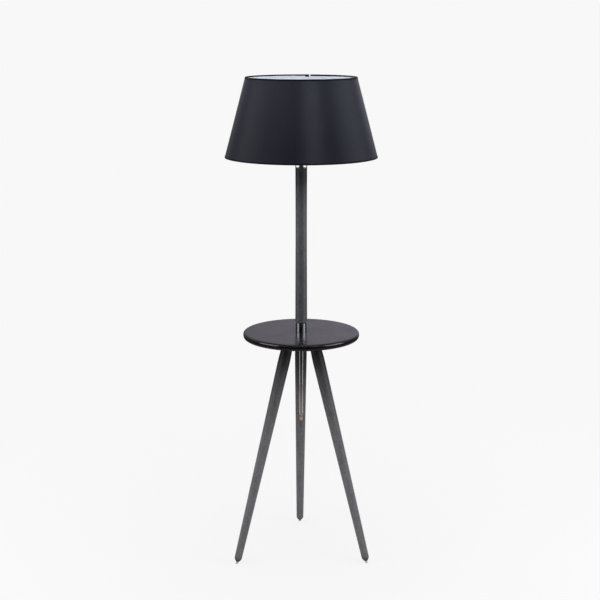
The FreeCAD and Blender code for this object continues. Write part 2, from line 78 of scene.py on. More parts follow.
# ------------------------------------------------------------------ node helper
class Mat:
    """A small builder for procedural materials.  Lengths are millimetres:
    src 'own' reads the piece's own coordinates, 'cad' the CAD node's."""

    def __init__(self, name, src="own"):
        self.m = bpy.data.materials.new(name)
        self.m.use_nodes = True
        self.t = self.m.node_tree
        self.t.nodes.clear()
        self.out = self.t.nodes.new("ShaderNodeOutputMaterial")
        self.b = self.t.nodes.new("ShaderNodeBsdfPrincipled")
        self.t.links.new(self.b.outputs[0], self.out.inputs[0])
        self.src = src
        self._loc = None
        self._surf = None

    def node(self, kind, **props):
        n = self.t.nodes.new(kind)
        for k, v in props.items():
            setattr(n, k, v)
        return n

    def put(self, socket, value):
        if isinstance(value, bpy.types.NodeSocket):
            self.t.links.new(value, socket)
        elif isinstance(value, (tuple, list)) and len(value) == 3 and socket.type == "RGBA":
            socket.default_value = (*value, 1.0)
        else:
            socket.default_value = value

    def loc(self):
        if self._loc is None:
            if self.src == "own":
                a = self.node("ShaderNodeAttribute")
                a.attribute_name = "loc"
                self._loc = a.outputs["Vector"]
            else:
                c = self.node("ShaderNodeTexCoord")
                self._loc = self.scaled(c.outputs["Object"], (1000.0, 1000.0, 1000.0))
        return self._loc

    def surf(self):
        if self.src != "own":
            return self.loc()
        if self._surf is None:
            a = self.node("ShaderNodeAttribute")
            a.attribute_name = "surf"
            self._surf = a.outputs["Vector"]
        return self._surf

    def scaled(self, vec, s):
        n = self.node("ShaderNodeVectorMath", operation="MULTIPLY")
        self.put(n.inputs[0], vec)
        n.inputs[1].default_value = s
        return n.outputs[0]

    def added(self, a, b):
        n = self.node("ShaderNodeVectorMath", operation="ADD")
        self.put(n.inputs[0], a)
        self.put(n.inputs[1], b)
        return n.outputs[0]

    def xyz(self, vec):
        n = self.node("ShaderNodeSeparateXYZ")
        self.put(n.inputs[0], vec)
        return n.outputs[0], n.outputs[1], n.outputs[2]

    def vec(self, x, y, z):
        n = self.node("ShaderNodeCombineXYZ")
        for s, v in zip(n.inputs, (x, y, z)):
            self.put(s, v)
        return n.outputs[0]

    def math(self, op, a, b=None, c=None):
        n = self.node("ShaderNodeMath", operation=op)
        for s, v in zip(n.inputs, (a, b, c)):
            if v is not None:
                self.put(s, v)
        return n.outputs[0]

    def noise(self, vec, scale=1.0, detail=3.0, rough=0.55, dist=0.0, colour=False):
        n = self.node("ShaderNodeTexNoise")
        self.put(n.inputs["Vector"], vec)
        n.inputs["Scale"].default_value = scale
        n.inputs["Detail"].default_value = detail
        n.inputs["Roughness"].default_value = rough
        n.inputs["Distortion"].default_value = dist
        return n.outputs["Color" if colour else "Fac"]

    def voronoi(self, vec, scale=1.0, feature="F1", output="Distance"):
        n = self.node("ShaderNodeTexVoronoi", feature=feature)
        self.put(n.inputs["Vector"], vec)
        n.inputs["Scale"].default_value = scale
        return n.outputs[output]

    def fit(self, v, a, b, c, d, smooth=False):
        n = self.node("ShaderNodeMapRange")
        n.interpolation_type = "SMOOTHSTEP" if smooth else "LINEAR"
        n.clamp = True
        for s, val in zip(n.inputs[:5], (v, a, b, c, d)):
            self.put(s, val)
        return n.outputs[0]

    def ramp(self, fac, *stops):
        n = self.node("ShaderNodeValToRGB")
        self.put(n.inputs[0], fac)
        r = n.color_ramp
        while len(r.elements) < len(stops):
            r.elements.new(0.5)
        for e, (p, c) in zip(r.elements, stops):
            e.position = p
            e.color = (*c, 1.0)
        return n.outputs[0]

    def mix(self, fac, a, b, blend="MIX"):
        n = self.node("ShaderNodeMix", data_type="RGBA", blend_type=blend)
        self.put(n.inputs[0], fac)
        self.put(n.inputs[6], a)
        self.put(n.inputs[7], b)
        return n.outputs[2]

    def tint(self, colour, factor):
        """colour times a grey factor, which is a socket."""
        return self.mix(1.0, colour, factor, "MULTIPLY")

    def bump(self, height, dist, strength=1.0, normal=None):
        n = self.node("ShaderNodeBump")
        n.inputs["Strength"].default_value = strength
        n.inputs["Distance"].default_value = dist
        self.put(n.inputs["Height"], height)
        if normal is not None:
            self.put(n.inputs["Normal"], normal)
        return n.outputs[0]

    def set(self, **kw):
        names = {"colour": "Base Color", "metal": "Metallic", "rough": "Roughness", "ior": "IOR",
                 "normal": "Normal", "spec": "Specular IOR Level", "coat": "Coat Weight",
                 "coat_rough": "Coat Roughness", "sheen": "Sheen Weight", "sheen_rough": "Sheen Roughness",
                 "sheen_tint": "Sheen Tint", "sss": "Subsurface Weight", "sss_scale": "Subsurface Scale",
                 "sss_radius": "Subsurface Radius", "aniso": "Anisotropic"}
        for k, v in kw.items():
            self.put(self.b.inputs[names[k]], v)
        return self.m


# ------------------------------------------------------------------ materials
def stained_wood(name, src="own", tone=1.0, hue=(1.0, 1.0, 1.0), painted_highlight_bands=()):
    m = Mat(name, src)
    x, y, z = m.xyz(m.loc())
    # painted shade: the colour is darkened by the per-vertex factor in the surface coordinates, standing in for the
    # shadow of the table over the legs' upper ends, of the shade over the post's top, and at the foot tips by the floor
    painted_shade = m.fit(m.xyz(m.surf())[2], 0.0, 1.0, 0.03, 1.0)
    # the growth rings of the blank, off the turning axis and slightly tilted
    warp = m.noise(m.scaled(m.loc(), (0.02, 0.02, 0.0035)), 1.0, 2.0)
    xs = m.math("ADD", m.math("ADD", x, 31.0), m.math("MULTIPLY", z, 0.012))
    ys = m.math("ADD", m.math("ADD", y, -17.0), m.math("MULTIPLY", warp, 9.0))
    r = m.math("SQRT", m.math("ADD", m.math("MULTIPLY", xs, xs), m.math("MULTIPLY", ys, ys)))
    ring = m.math("FRACT", m.math("DIVIDE", r, 2.9))
    ring = m.math("POWER", ring, 2.2)
    fibre = m.noise(m.scaled(m.loc(), (1.9, 1.9, 0.035)), 1.0, 4.0, 0.6)
    cloud = m.noise(m.scaled(m.loc(), (0.035, 0.035, 0.012)), 1.0, 3.0, 0.6)
    mottle = m.noise(m.scaled(m.loc(), (0.22, 0.22, 0.11)), 1.0, 3.0, 0.6)
    pores = m.noise(m.scaled(m.loc(), (3.4, 3.4, 0.16)), 1.0, 1.0, 0.4)
    pore = m.fit(pores, 0.60, 0.70, 0.0, 1.0, True)
    # pores stand thicker in the early wood
    pore = m.math("MULTIPLY", pore, m.fit(ring, 0.0, 0.55, 1.0, 0.35))
    k = m.math("ADD", m.fit(fibre, 0.25, 0.75, 0.82, 1.18), m.fit(ring, 0.0, 1.0, 0.07, -0.15))
    k = m.math("MULTIPLY", k, m.fit(cloud, 0.3, 0.7, 0.86, 1.14))
    k = m.math("MULTIPLY", k, m.fit(mottle, 0.3, 0.7, 0.82, 1.18))
    k = m.math("MULTIPLY", k, m.fit(pore, 0.0, 1.0, 1.0, 0.55))
    # painted highlights: lighter vertical bands on the face towards negative y, standing in for the side lamps'
    # highlights
    for at, half, much in painted_highlight_bands:
        off = m.math("ABSOLUTE", m.math("ADD", m.math("ADD", x, -at), m.fit(cloud, 0.3, 0.7, -0.7, 0.7)))
        band = m.math("MULTIPLY", m.fit(off, 0.0, half, much, 0.0, True), m.fit(y, -14.0, -10.0, 1.0, 0.0, True))
        k = m.math("MULTIPLY", k, m.math("ADD", band, 1.0))
    dark, pale = (0.128, 0.131, 0.136), (0.152, 0.152, 0.154)
    base = m.mix(m.fit(fibre, 0.3, 0.7, 0.0, 1.0), tuple(c * h * tone for c, h in zip(dark, hue)),
                 tuple(c * h * tone for c, h in zip(pale, hue)))
    k = m.math("MULTIPLY", k, painted_shade)
    colour = m.tint(base, k)
    rough = m.math("ADD", m.fit(cloud, 0.3, 0.7, 0.52, 0.62), m.fit(pore, 0.0, 1.0, 0.0, 0.2))
    h = m.math("ADD", m.math("MULTIPLY", fibre, 0.35), m.math("MULTIPLY", pore, -1.0))
    return m.set(colour=colour, rough=rough, normal=m.bump(h, 0.00012, 0.8), ior=1.48)


def table_lacquer(name, src="own"):
    m = Mat(name, src)
    x, y, z = m.xyz(m.loc())
    peel = m.noise(m.scaled(m.loc(), (0.16, 0.16, 0.16)), 1.0, 2.0, 0.5)
    fine = m.noise(m.scaled(m.loc(), (1.4, 1.4, 1.4)), 1.0, 2.0, 0.6)
    cloud = m.noise(m.scaled(m.loc(), (0.012, 0.012, 0.012)), 1.0, 3.0, 0.55)
    dust = m.voronoi(m.scaled(m.loc(), (0.085, 0.085, 0.085)), 1.0)
    speck = m.fit(dust, 0.020, 0.045, 1.0, 0.0, True)
    # faint rub marks, mostly near the edge
    rub = m.noise(m.scaled(m.loc(), (0.05, 0.9, 0.05)), 1.0, 3.0, 0.7, 0.6)
    r = m.math("SQRT", m.math("ADD", m.math("MULTIPLY", x, x), m.math("MULTIPLY", y, y)))
    edge = m.fit(r, 150.0, 172.0, 0.25, 1.0, True)
    rubbed = m.math("MULTIPLY", m.fit(rub, 0.60, 0.72, 0.0, 1.0, True), edge)
    base = m.mix(m.fit(cloud, 0.3, 0.7, 0.0, 1.0), (0.0062, 0.0045, 0.0085), (0.0095, 0.0070, 0.0125))
    # painted light: the flat faces get a lighter colour than the edge, standing in for the brighter reflection the top
    # shows
    flat = m.mix(m.fit(cloud, 0.3, 0.7, 0.0, 1.0), (0.0118, 0.0108, 0.0140), (0.0151, 0.0133, 0.0180))
    base = m.mix(m.fit(r, 165.0, 172.5, 0.0, 1.0, True), flat, base)
    base = m.mix(m.math("MULTIPLY", speck, 0.5), base, (0.05, 0.05, 0.055))
    # painted highlight: a strip on the upper edge's round is made lighter and more metallic, standing in for the side
    # lamps' highlight along the edge
    painted_edge_highlight = m.math("MULTIPLY", m.fit(z, 692.8, 693.8, 0.0, 1.0, True), m.fit(z, 696.2, 697.2, 1.0, 0.0, True))
    painted_edge_highlight = m.math("MULTIPLY", painted_edge_highlight, m.fit(r, 172.0, 173.0, 0.0, 1.0, True))
    broken = m.noise(m.scaled(m.loc(), (0.11, 0.11, 0.6)), 1.0, 3.0, 0.7)
    painted_edge_highlight = m.math("MULTIPLY", painted_edge_highlight, m.fit(broken, 0.34, 0.62, 0.55, 1.0, True))
    base = m.mix(painted_edge_highlight, base, (0.092, 0.089, 0.096))
    rough = m.math("ADD", m.fit(cloud, 0.3, 0.7, 0.22, 0.29), m.math("MULTIPLY", rubbed, 0.06))
    wall = m.math("MULTIPLY", m.fit(z, 692.8, 693.6, 1.0, 0.0, True), m.fit(r, 170.0, 172.0, 0.0, 1.0, True))
    rough = m.math("SUBTRACT", rough, m.math("MULTIPLY", m.math("ADD", painted_edge_highlight, wall), 0.13))
    n = m.bump(peel, 0.00018, 0.5)
    n = m.bump(fine, 0.00002, 0.6, n)
    return m.set(colour=base, rough=rough, normal=n, ior=1.38, metal=m.math("MULTIPLY", painted_edge_highlight, 0.95))


def polished(name, src="own", bright=(0.52, 0.545, 0.575), dull=(0.47, 0.49, 0.52)):
    m = Mat(name, src)
    s = m.surf()
    lines = m.noise(m.scaled(s, (0.02, 3.2, 1.0) if src == "own" else (0.05, 0.05, 3.2)), 1.0, 3.0, 0.7)
    smear = m.noise(m.scaled(m.loc(), (0.07, 0.07, 0.05)), 1.0, 3.0, 0.6, 0.8)
    base = m.mix(m.fit(smear, 0.35, 0.75, 0.0, 1.0), bright, dull)
    rough = m.math("ADD", m.fit(smear, 0.35, 0.75, 0.035, 0.065), m.fit(lines, 0.5, 0.8, 0.0, 0.03))
    return m.set(colour=base, metal=1.0, rough=rough, normal=m.bump(lines, 0.000004, 0.5))


def zinc(name, src="cad", dark=1.0):
    m = Mat(name, src)
    cell = m.voronoi(m.scaled(m.loc(), (0.42, 0.42, 0.42)), 1.0, "F1", "Color")
    cx, cy, cz = m.xyz(cell)
    stain = m.noise(m.scaled(m.loc(), (0.06, 0.06, 0.06)), 1.0, 4.0, 0.65)
    grit = m.noise(m.scaled(m.loc(), (1.8, 1.8, 1.8)), 1.0, 2.0, 0.6)
    base = m.mix(m.fit(cx, 0.0, 1.0, 0.0, 0.6), (0.50 * dark, 0.515 * dark, 0.53 * dark),
                 (0.60 * dark, 0.60 * dark, 0.585 * dark))
    base = m.mix(m.fit(stain, 0.5, 0.75, 0.0, 0.55), base, (0.36 * dark, 0.36 * dark, 0.35 * dark))
    rough = m.math("ADD", m.fit(cy, 0.0, 1.0, 0.28, 0.42), m.fit(stain, 0.4, 0.8, 0.0, 0.15))
    return m.set(colour=base, metal=1.0, rough=rough, normal=m.bump(grit, 0.00004, 0.6))


def black_steel(name, src="own"):
    m = Mat(name, src)
    grain = m.noise(m.scaled(m.loc(), (1.5, 1.5, 1.5)), 1.0, 3.0, 0.6)
    wear = m.noise(m.scaled(m.loc(), (0.12, 0.12, 0.12)), 1.0, 4.0, 0.65)
    base = m.mix(m.fit(wear, 0.45, 0.75, 0.0, 1.0), (0.010, 0.010, 0.0115), (0.020, 0.020, 0.022))
    rough = m.math("ADD", m.fit(wear, 0.3, 0.7, 0.36, 0.46), m.fit(grain, 0.4, 0.7, 0.0, 0.06))
    return m.set(colour=base, rough=rough, normal=m.bump(grain, 0.00006, 0.6), ior=1.5)


def white_wire(name, src="own"):
    m = Mat(name, src)
    peel = m.noise(m.scaled(m.loc(), (0.8, 0.8, 0.8)), 1.0, 2.0, 0.5)
    drip = m.noise(m.scaled(m.loc(), (0.05, 0.05, 0.08)), 1.0, 3.0, 0.6)
    base = m.mix(m.fit(drip, 0.35, 0.7, 0.0, 1.0), (0.78, 0.79, 0.80), (0.68, 0.69, 0.695))
    rough = m.fit(drip, 0.3, 0.7, 0.30, 0.42)
    return m.set(colour=base, rough=rough, normal=m.bump(peel, 0.00010, 0.5), coat=0.3, coat_rough=0.2)


def brass(name, src="own"):
    m = Mat(name, src)
    turn = m.noise(m.scaled(m.loc(), (0.1, 0.1, 4.0)), 1.0, 2.0, 0.6)
    age = m.noise(m.scaled(m.loc(), (0.25, 0.25, 0.25)), 1.0, 4.0, 0.65)
    base = m.ramp(m.fit(age, 0.3, 0.75, 0.0, 1.0), (0.0, (0.80, 0.53, 0.26)), (0.6, (0.62, 0.38, 0.17)),
                  (1.0, (0.36, 0.20, 0.10)))
    rough = m.fit(age, 0.3, 0.75, 0.22, 0.46)
    return m.set(colour=base, metal=1.0, rough=rough, normal=m.bump(turn, 0.00003, 0.6))


def black_plastic(name, src="own"):
    m = Mat(name, src)
    flow = m.noise(m.scaled(m.loc(), (0.05, 0.05, 0.12)), 1.0, 3.0, 0.6, 0.7)
    grain = m.noise(m.scaled(m.loc(), (2.4, 2.4, 2.4)), 1.0, 2.0, 0.5)
    base = m.mix(m.fit(flow, 0.35, 0.7, 0.0, 1.0), (0.013, 0.0125, 0.0125), (0.022, 0.021, 0.0205))
    rough = m.math("ADD", m.fit(flow, 0.3, 0.7, 0.26, 0.38), m.fit(grain, 0.4, 0.7, 0.0, 0.06))
    return m.set(colour=base, rough=rough, normal=m.bump(grain, 0.00004, 0.5), ior=1.55)


def nylon(name, src="own", light=(0.80, 0.70, 0.68), deep=(0.70, 0.60, 0.57)):
    m = Mat(name, src)
    flow = m.noise(m.scaled(m.loc(), (0.12, 0.12, 0.2)), 1.0, 3.0, 0.6, 0.5)
    scuff = m.noise(m.scaled(m.loc(), (1.2, 0.5, 1.2)), 1.0, 4.0, 0.7)
    base = m.mix(m.fit(flow, 0.35, 0.7, 0.0, 1.0), light, deep)
    rough = m.math("ADD", m.fit(flow, 0.3, 0.7, 0.38, 0.5), m.fit(scuff, 0.55, 0.8, 0.0, 0.2))
    return m.set(colour=base, rough=rough, normal=m.bump(scuff, 0.00005, 0.6), sss=0.12,
                 sss_scale=0.002, sss_radius=(1.0, 0.7, 0.6))


def black_fibre(name, src="own"):
    m = Mat(name, src)
    lay = m.noise(m.scaled(m.loc(), (0.7, 0.7, 2.6)), 1.0, 4.0, 0.7, 0.4)
    tuft = m.noise(m.scaled(m.loc(), (2.5, 2.5, 2.5)), 1.0, 2.0, 0.6)
    base = m.mix(m.fit(lay, 0.35, 0.7, 0.0, 1.0), (0.008, 0.008, 0.009), (0.024, 0.023, 0.023))
    rough = m.fit(lay, 0.3, 0.7, 0.68, 0.9)
    return m.set(colour=base, rough=rough, normal=m.bump(m.math("ADD", lay, tuft), 0.00012, 0.7))


def shade_cloth(name, src="own"):
    m = Mat(name, src)
    u, v, w = m.xyz(m.surf())
    pitch = 0.46
    au = m.math("SINE", m.math("MULTIPLY", u, math.pi / pitch))
    av = m.math("SINE", m.math("MULTIPLY", v, math.pi / pitch))
    over = m.math("GREATER_THAN", m.math("MULTIPLY", au, av), 0.0)
    bu, bv = m.math("ABSOLUTE", au), m.math("ABSOLUTE", av)
    weave = m.math("ADD", m.math("MULTIPLY", bu, over),
                   m.math("MULTIPLY", bv, m.math("SUBTRACT", 1.0, over)))
    slub_v = m.noise(m.scaled(m.surf(), (1.4, 0.012, 1.0)), 1.0, 4.0, 0.62)
    slub_h = m.noise(m.scaled(m.surf(), (0.012, 1.4, 1.0)), 1.0, 4.0, 0.62)
    cloud = m.noise(m.scaled(m.surf(), (0.012, 0.008, 1.0)), 1.0, 3.0, 0.55)
    fuzz = m.noise(m.scaled(m.surf(), (0.6, 0.6, 1.0)), 1.0, 3.0, 0.65)
    k = m.math("ADD", m.fit(slub_v, 0.3, 0.7, -0.11, 0.11), m.fit(slub_h, 0.3, 0.7, 0.92, 1.08))
    k = m.math("MULTIPLY", k, m.fit(weave, 0.0, 1.0, 0.68, 1.12))
    k = m.math("MULTIPLY", k, m.fit(cloud, 0.3, 0.7, 0.95, 1.05))
    k = m.math("MULTIPLY", k, m.fit(fuzz, 0.3, 0.7, 0.93, 1.07))
    # painted light: the upper part of the cone is coloured lighter, standing in for the stronger light from above on
    # the top of the shade
    base = m.mix(m.fit(v, 40.0, 200.0, 0.0, 1.0), (0.0213, 0.0226, 0.0400), (0.0390, 0.0412, 0.0632))
    colour = m.tint(base, k)
    h = m.math("ADD", weave, m.math("MULTIPLY", m.math("ADD", slub_v, slub_h), 0.8))
    return m.set(colour=colour, rough=m.fit(fuzz, 0.3, 0.7, 0.33, 0.40), normal=m.bump(h, 0.00004, 0.7),
                 sheen=0.17, sheen_rough=0.34, sheen_tint=(0.60, 0.66, 0.84, 1.0), spec=0.33)


def edge_tape(name, src="own"):
    m = Mat(name, src)
    u, v, w = m.xyz(m.surf())
    rib = m.math("ABSOLUTE", m.math("SINE", m.math("MULTIPLY", u, math.pi / 0.7)))
    pick = m.math("ABSOLUTE", m.math("SINE", m.math("MULTIPLY", v, math.pi / 0.35)))
    crease = m.noise(m.scaled(m.surf(), (0.10, 0.5, 1.0)), 1.0, 4.0, 0.6)
    k = m.math("MULTIPLY", m.fit(rib, 0.0, 1.0, 0.6, 1.15), m.fit(crease, 0.3, 0.7, 0.8, 1.2))
    colour = m.tint((0.0050, 0.0050, 0.0062), k)
    h = m.math("ADD", rib, m.math("MULTIPLY", pick, 0.4))
    h = m.math("ADD", h, crease)
    return m.set(colour=colour, rough=m.fit(crease, 0.3, 0.7, 0.55, 0.7), normal=m.bump(h, 0.00010, 0.7),
                 sheen=0.06, sheen_rough=0.4, spec=0.3)


def shade_lining(name, src="own"):
    m = Mat(name, src)
    web = m.noise(m.scaled(m.surf(), (0.35, 0.35, 1.0)), 1.0, 5.0, 0.7, 0.9)
    wave = m.noise(m.scaled(m.surf(), (0.02, 0.012, 1.0)), 1.0, 2.0, 0.5)
    base = m.mix(m.fit(web, 0.35, 0.7, 0.0, 1.0), (0.77, 0.80, 0.86), (0.71, 0.745, 0.81))
    return m.set(colour=base, rough=m.fit(web, 0.3, 0.7, 0.42, 0.55),
                 normal=m.bump(m.math("ADD", m.math("MULTIPLY", web, 0.25), wave), 0.0004, 0.5))


def bulb_white(name, src="own"):
    m = Mat(name, src)
    flow = m.noise(m.scaled(m.loc(), (0.05, 0.05, 0.08)), 1.0, 3.0, 0.6)
    grain = m.noise(m.scaled(m.loc(), (1.6, 1.6, 1.6)), 1.0, 2.0, 0.5)
    base = m.mix(m.fit(flow, 0.35, 0.7, 0.0, 1.0), (0.80, 0.80, 0.79), (0.74, 0.74, 0.725))
    return m.set(colour=base, rough=m.fit(flow, 0.3, 0.7, 0.3, 0.4), normal=m.bump(grain, 0.00004, 0.5))


def bulb_opal(name, src="own"):
    m = Mat(name, src)
    haze = m.noise(m.scaled(m.loc(), (0.06, 0.06, 0.06)), 1.0, 3.0, 0.6)
    grain = m.noise(m.scaled(m.loc(), (1.1, 1.1, 1.1)), 1.0, 2.0, 0.5)
    base = m.mix(m.fit(haze, 0.35, 0.7, 0.0, 1.0), (0.86, 0.855, 0.84), (0.81, 0.805, 0.785))
    return m.set(colour=base, rough=m.fit(haze, 0.3, 0.7, 0.16, 0.26), normal=m.bump(grain, 0.00002, 0.5),
                 sss=0.35, sss_scale=0.006, sss_radius=(1.0, 0.95, 0.85))


def nickel(name, src="own"):
    m = Mat(name, src)
    draw = m.noise(m.scaled(m.loc(), (0.5, 0.5, 0.5)), 1.0, 3.0, 0.6)
    base = m.mix(m.fit(draw, 0.35, 0.7, 0.0, 1.0), (0.66, 0.64, 0.60), (0.56, 0.54, 0.50))
    return m.set(colour=base, metal=1.0, rough=m.fit(draw, 0.3, 0.7, 0.2, 0.34),
                 normal=m.bump(draw, 0.00003, 0.5))


def board_aluminium(name, src="cad"):
    m = Mat(name, src)
    x, y, z = m.xyz(m.loc())
    mill = m.noise(m.scaled(m.loc(), (0.08, 3.0, 0.08)), 1.0, 3.0, 0.65)
    cells = m.voronoi(m.scaled(m.loc(), (0.12, 0.12, 0.12)), 1.0)
    pad = m.fit(cells, 0.16, 0.2, 1.0, 0.0, True)
    base = m.mix(pad, (0.74, 0.745, 0.74), (0.80, 0.70, 0.30))
    base = m.tint(base, m.fit(mill, 0.3, 0.7, 0.9, 1.08))
    return m.set(colour=base, metal=0.35, rough=m.fit(mill, 0.3, 0.7, 0.3, 0.42),
                 normal=m.bump(mill, 0.00003, 0.6))


FINISH = {
    "grey_wood": lambda n, s: stained_wood(n, s, 1.60, (1.01, 0.985, 1.04)), "table_lacquer": table_lacquer, "polished_steel": polished,
    "zinc_steel": zinc, "black_steel": black_steel, "white_wire": white_wire, "brass": brass,
    "black_plastic": black_plastic, "pale_nylon": nylon, "black_fibre": black_fibre,
    "shade_fabric": shade_cloth, "edge_tape": edge_tape, "shade_lining": shade_lining,
    "bulb_white": bulb_white, "bulb_opal": bulb_opal, "nickel": nickel, "board_aluminium": board_aluminium,
}
made = {}


def finish_of(slot, src):
    key = (slot, src)
    if key not in made:
        if slot == "foot_nylon":
            made[key] = nylon("foot_nylon_" + src, src, (0.90, 0.90, 0.89), (0.84, 0.84, 0.83))
        else:
            made[key] = FINISH[slot](slot + "_" + src, src)
    return made[key]


# ------------------------------------------------------------------ mesh helpers
def arc(cr, cz, rad, a0, a1, n):
    """Points of an arc in the (r, z) plane, angles in degrees, both ends included."""
    return [(cr + rad * math.cos(math.radians(a0 + (a1 - a0) * i / n)),
             cz + rad * math.sin(math.radians(a0 + (a1 - a0) * i / n))) for i in range(n + 1)]


def clean(prof):
    out = []
    for p in prof:
        if not out or math.hypot(p[0] - out[-1][0], p[1] - out[-1][1]) > 1e-4:
            out.append(p)
    if math.hypot(out[0][0] - out[-1][0], out[0][1] - out[-1][1]) < 1e-4:
        out.pop()
    return out


def fine(prof, step):
    """The same profile with its long runs divided."""
    out = []
    for i, p in enumerate(prof):
        q = prof[(i + 1) % len(prof)]
        n = max(1, int(math.ceil(math.hypot(q[0] - p[0], q[1] - p[1]) / step)))
        out += [(p[0] + (q[0] - p[0]) * k / n, p[1] + (q[1] - p[1]) * k / n) for k in range(n)]
    return out


def turned(name, prof, segs=96, sharp=24.0, warp=None, start=0.0, span=360.0, step=None, third=None):
    """A closed profile in (r, z), millimetres, turned about Z.  Points on the
    axis become poles.  warp(r, z, degrees) may move a point to (r, z, degrees)."""
    prof = clean(prof)
    if step:
        prof = fine(prof, step)
    n = len(prof)
    whole = span >= 359.999
    cols = segs if whole else segs + 1
    pole = [p[0] < 1e-6 for p in prof]
    # arc length along the profile, for the surface coordinates
    length = [0.0]
    for i in range(n):
        a, b = prof[i], prof[(i + 1) % n]
        length.append(length[-1] + math.hypot(b[0] - a[0], b[1] - a[1]))
    rref = max(p[0] for p in prof)
    verts, index = [], {}
    for i, (r, z) in enumerate(prof):
        for j in range(cols):
            if pole[i]:
                if ("p", i) not in index:
                    index[("p", i)] = len(verts)
                    verts.append((0.0, 0.0, z, i, j))
                index[(i, j)] = index[("p", i)]
                continue
            a = start + span * j / segs
            rr, zz, aa = warp(r, z, a) if warp else (r, z, a)
            t = math.radians(aa)
            index[(i, j)] = len(verts)
            verts.append((rr * math.cos(t), rr * math.sin(t), zz, i, j))
    faces, uvs = [], []
    for i in range(n):
        k = (i + 1) % n
        if pole[i] and pole[k]:
            continue
        for j in range(segs):
            j2 = (j + 1) % cols
            quad = [(i, j, 0, 0), (i, j2, 1, 0), (k, j2, 1, 1), (k, j, 0, 1)]
            ids, uv = [], []
            for (pi, pj, du, dv) in quad:
                v = index[(pi, pj)]
                if v in ids:
                    continue
                ids.append(v)
                uv.append((math.radians(start + span * (j + du) / segs) * rref, length[i + dv],
                           third(verts[v][2]) if third else 0.0))
            faces.append(ids)
            uvs.append(uv)
    if not whole:
        for j in (0, segs):
            ids = []
            for i in range(n):
                v = index[(i, j)]
                if v not in ids:
                    ids.append(v)
            uvs.append([(verts[v][0], verts[v][2], 0.0) for v in ids])
            faces.append(ids)
    mesh = bpy.data.meshes.new(name)
    co = np.array([v[:3] for v in verts])
    mesh.from_pydata((co * 0.001).tolist(), [], faces)
    # sharp rings where the profile turns
    hard = []
    for i in range(n):
        p0, p1, p2 = prof[i - 1], prof[i], prof[(i + 1) % n]
        a0 = math.atan2(p1[1] - p0[1], p1[0] - p0[0])
        a1 = math.atan2(p2[1] - p1[1], p2[0] - p1[0])
        d = abs((a1 - a0 + math.pi) % (2 * math.pi) - math.pi)
        hard.append(math.degrees(d) > sharp)
    row = np.array([v[3] for v in verts])
    col = np.array([v[4] for v in verts])
    ed = np.zeros(len(mesh.edges) * 2, int)
    mesh.edges.foreach_get("vertices", ed)
    ed = ed.reshape(-1, 2)
    same = row[ed[:, 0]] == row[ed[:, 1]]
    flag = same & np.array(hard)[row[ed[:, 0]]]
    if not whole:
        flag |= (col[ed[:, 0]] == col[ed[:, 1]]) & np.isin(col[ed[:, 0]], (0, segs))
    mesh.attributes.new("sharp_edge", "BOOLEAN", "EDGE").data.foreach_set("value", flag)
    surf = mesh.attributes.new("surf", "FLOAT_VECTOR", "CORNER")
    flat = [c for uv in uvs for p in uv for c in p]
    surf.data.foreach_set("vector", np.array(flat, np.float32))
    return seal(mesh, co)


def seal(mesh, co=None):
    """Outward normals, smooth faces and the millimetre coordinates 'loc'."""
    bm = bmesh.new()
    bm.from_mesh(mesh)
    bmesh.ops.recalc_face_normals(bm, faces=bm.faces)
    for f in bm.faces:
        f.smooth = True
    bm.to_mesh(mesh)
    bm.free()
    if co is None:
        co = np.zeros(len(mesh.vertices) * 3)
        mesh.vertices.foreach_get("co", co)
        co = co.reshape(-1, 3) * 1000.0
    at = mesh.attributes.get("loc") or mesh.attributes.new("loc", "FLOAT_VECTOR", "POINT")
    at.data.foreach_set("vector", co.astype(np.float32).ravel())
    if "surf" not in mesh.attributes:
        s = mesh.attributes.new("surf", "FLOAT_VECTOR", "POINT")
        s.data.foreach_set("vector", co.astype(np.float32).ravel())
    mesh.update()
    return mesh


def piece(mesh, body, slot, replaces=(), matrix=None, name=None):
    obj = bpy.data.objects.new(name or mesh.name, mesh)
    scene.collection.objects.link(obj)
    if matrix is not None:
        mesh.transform(matrix)
    obj.data.materials.clear()
    obj.data.materials.append(finish_of(slot, "own"))
    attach(obj, body)
    if replaces:
        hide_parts(*replaces)
    return obj


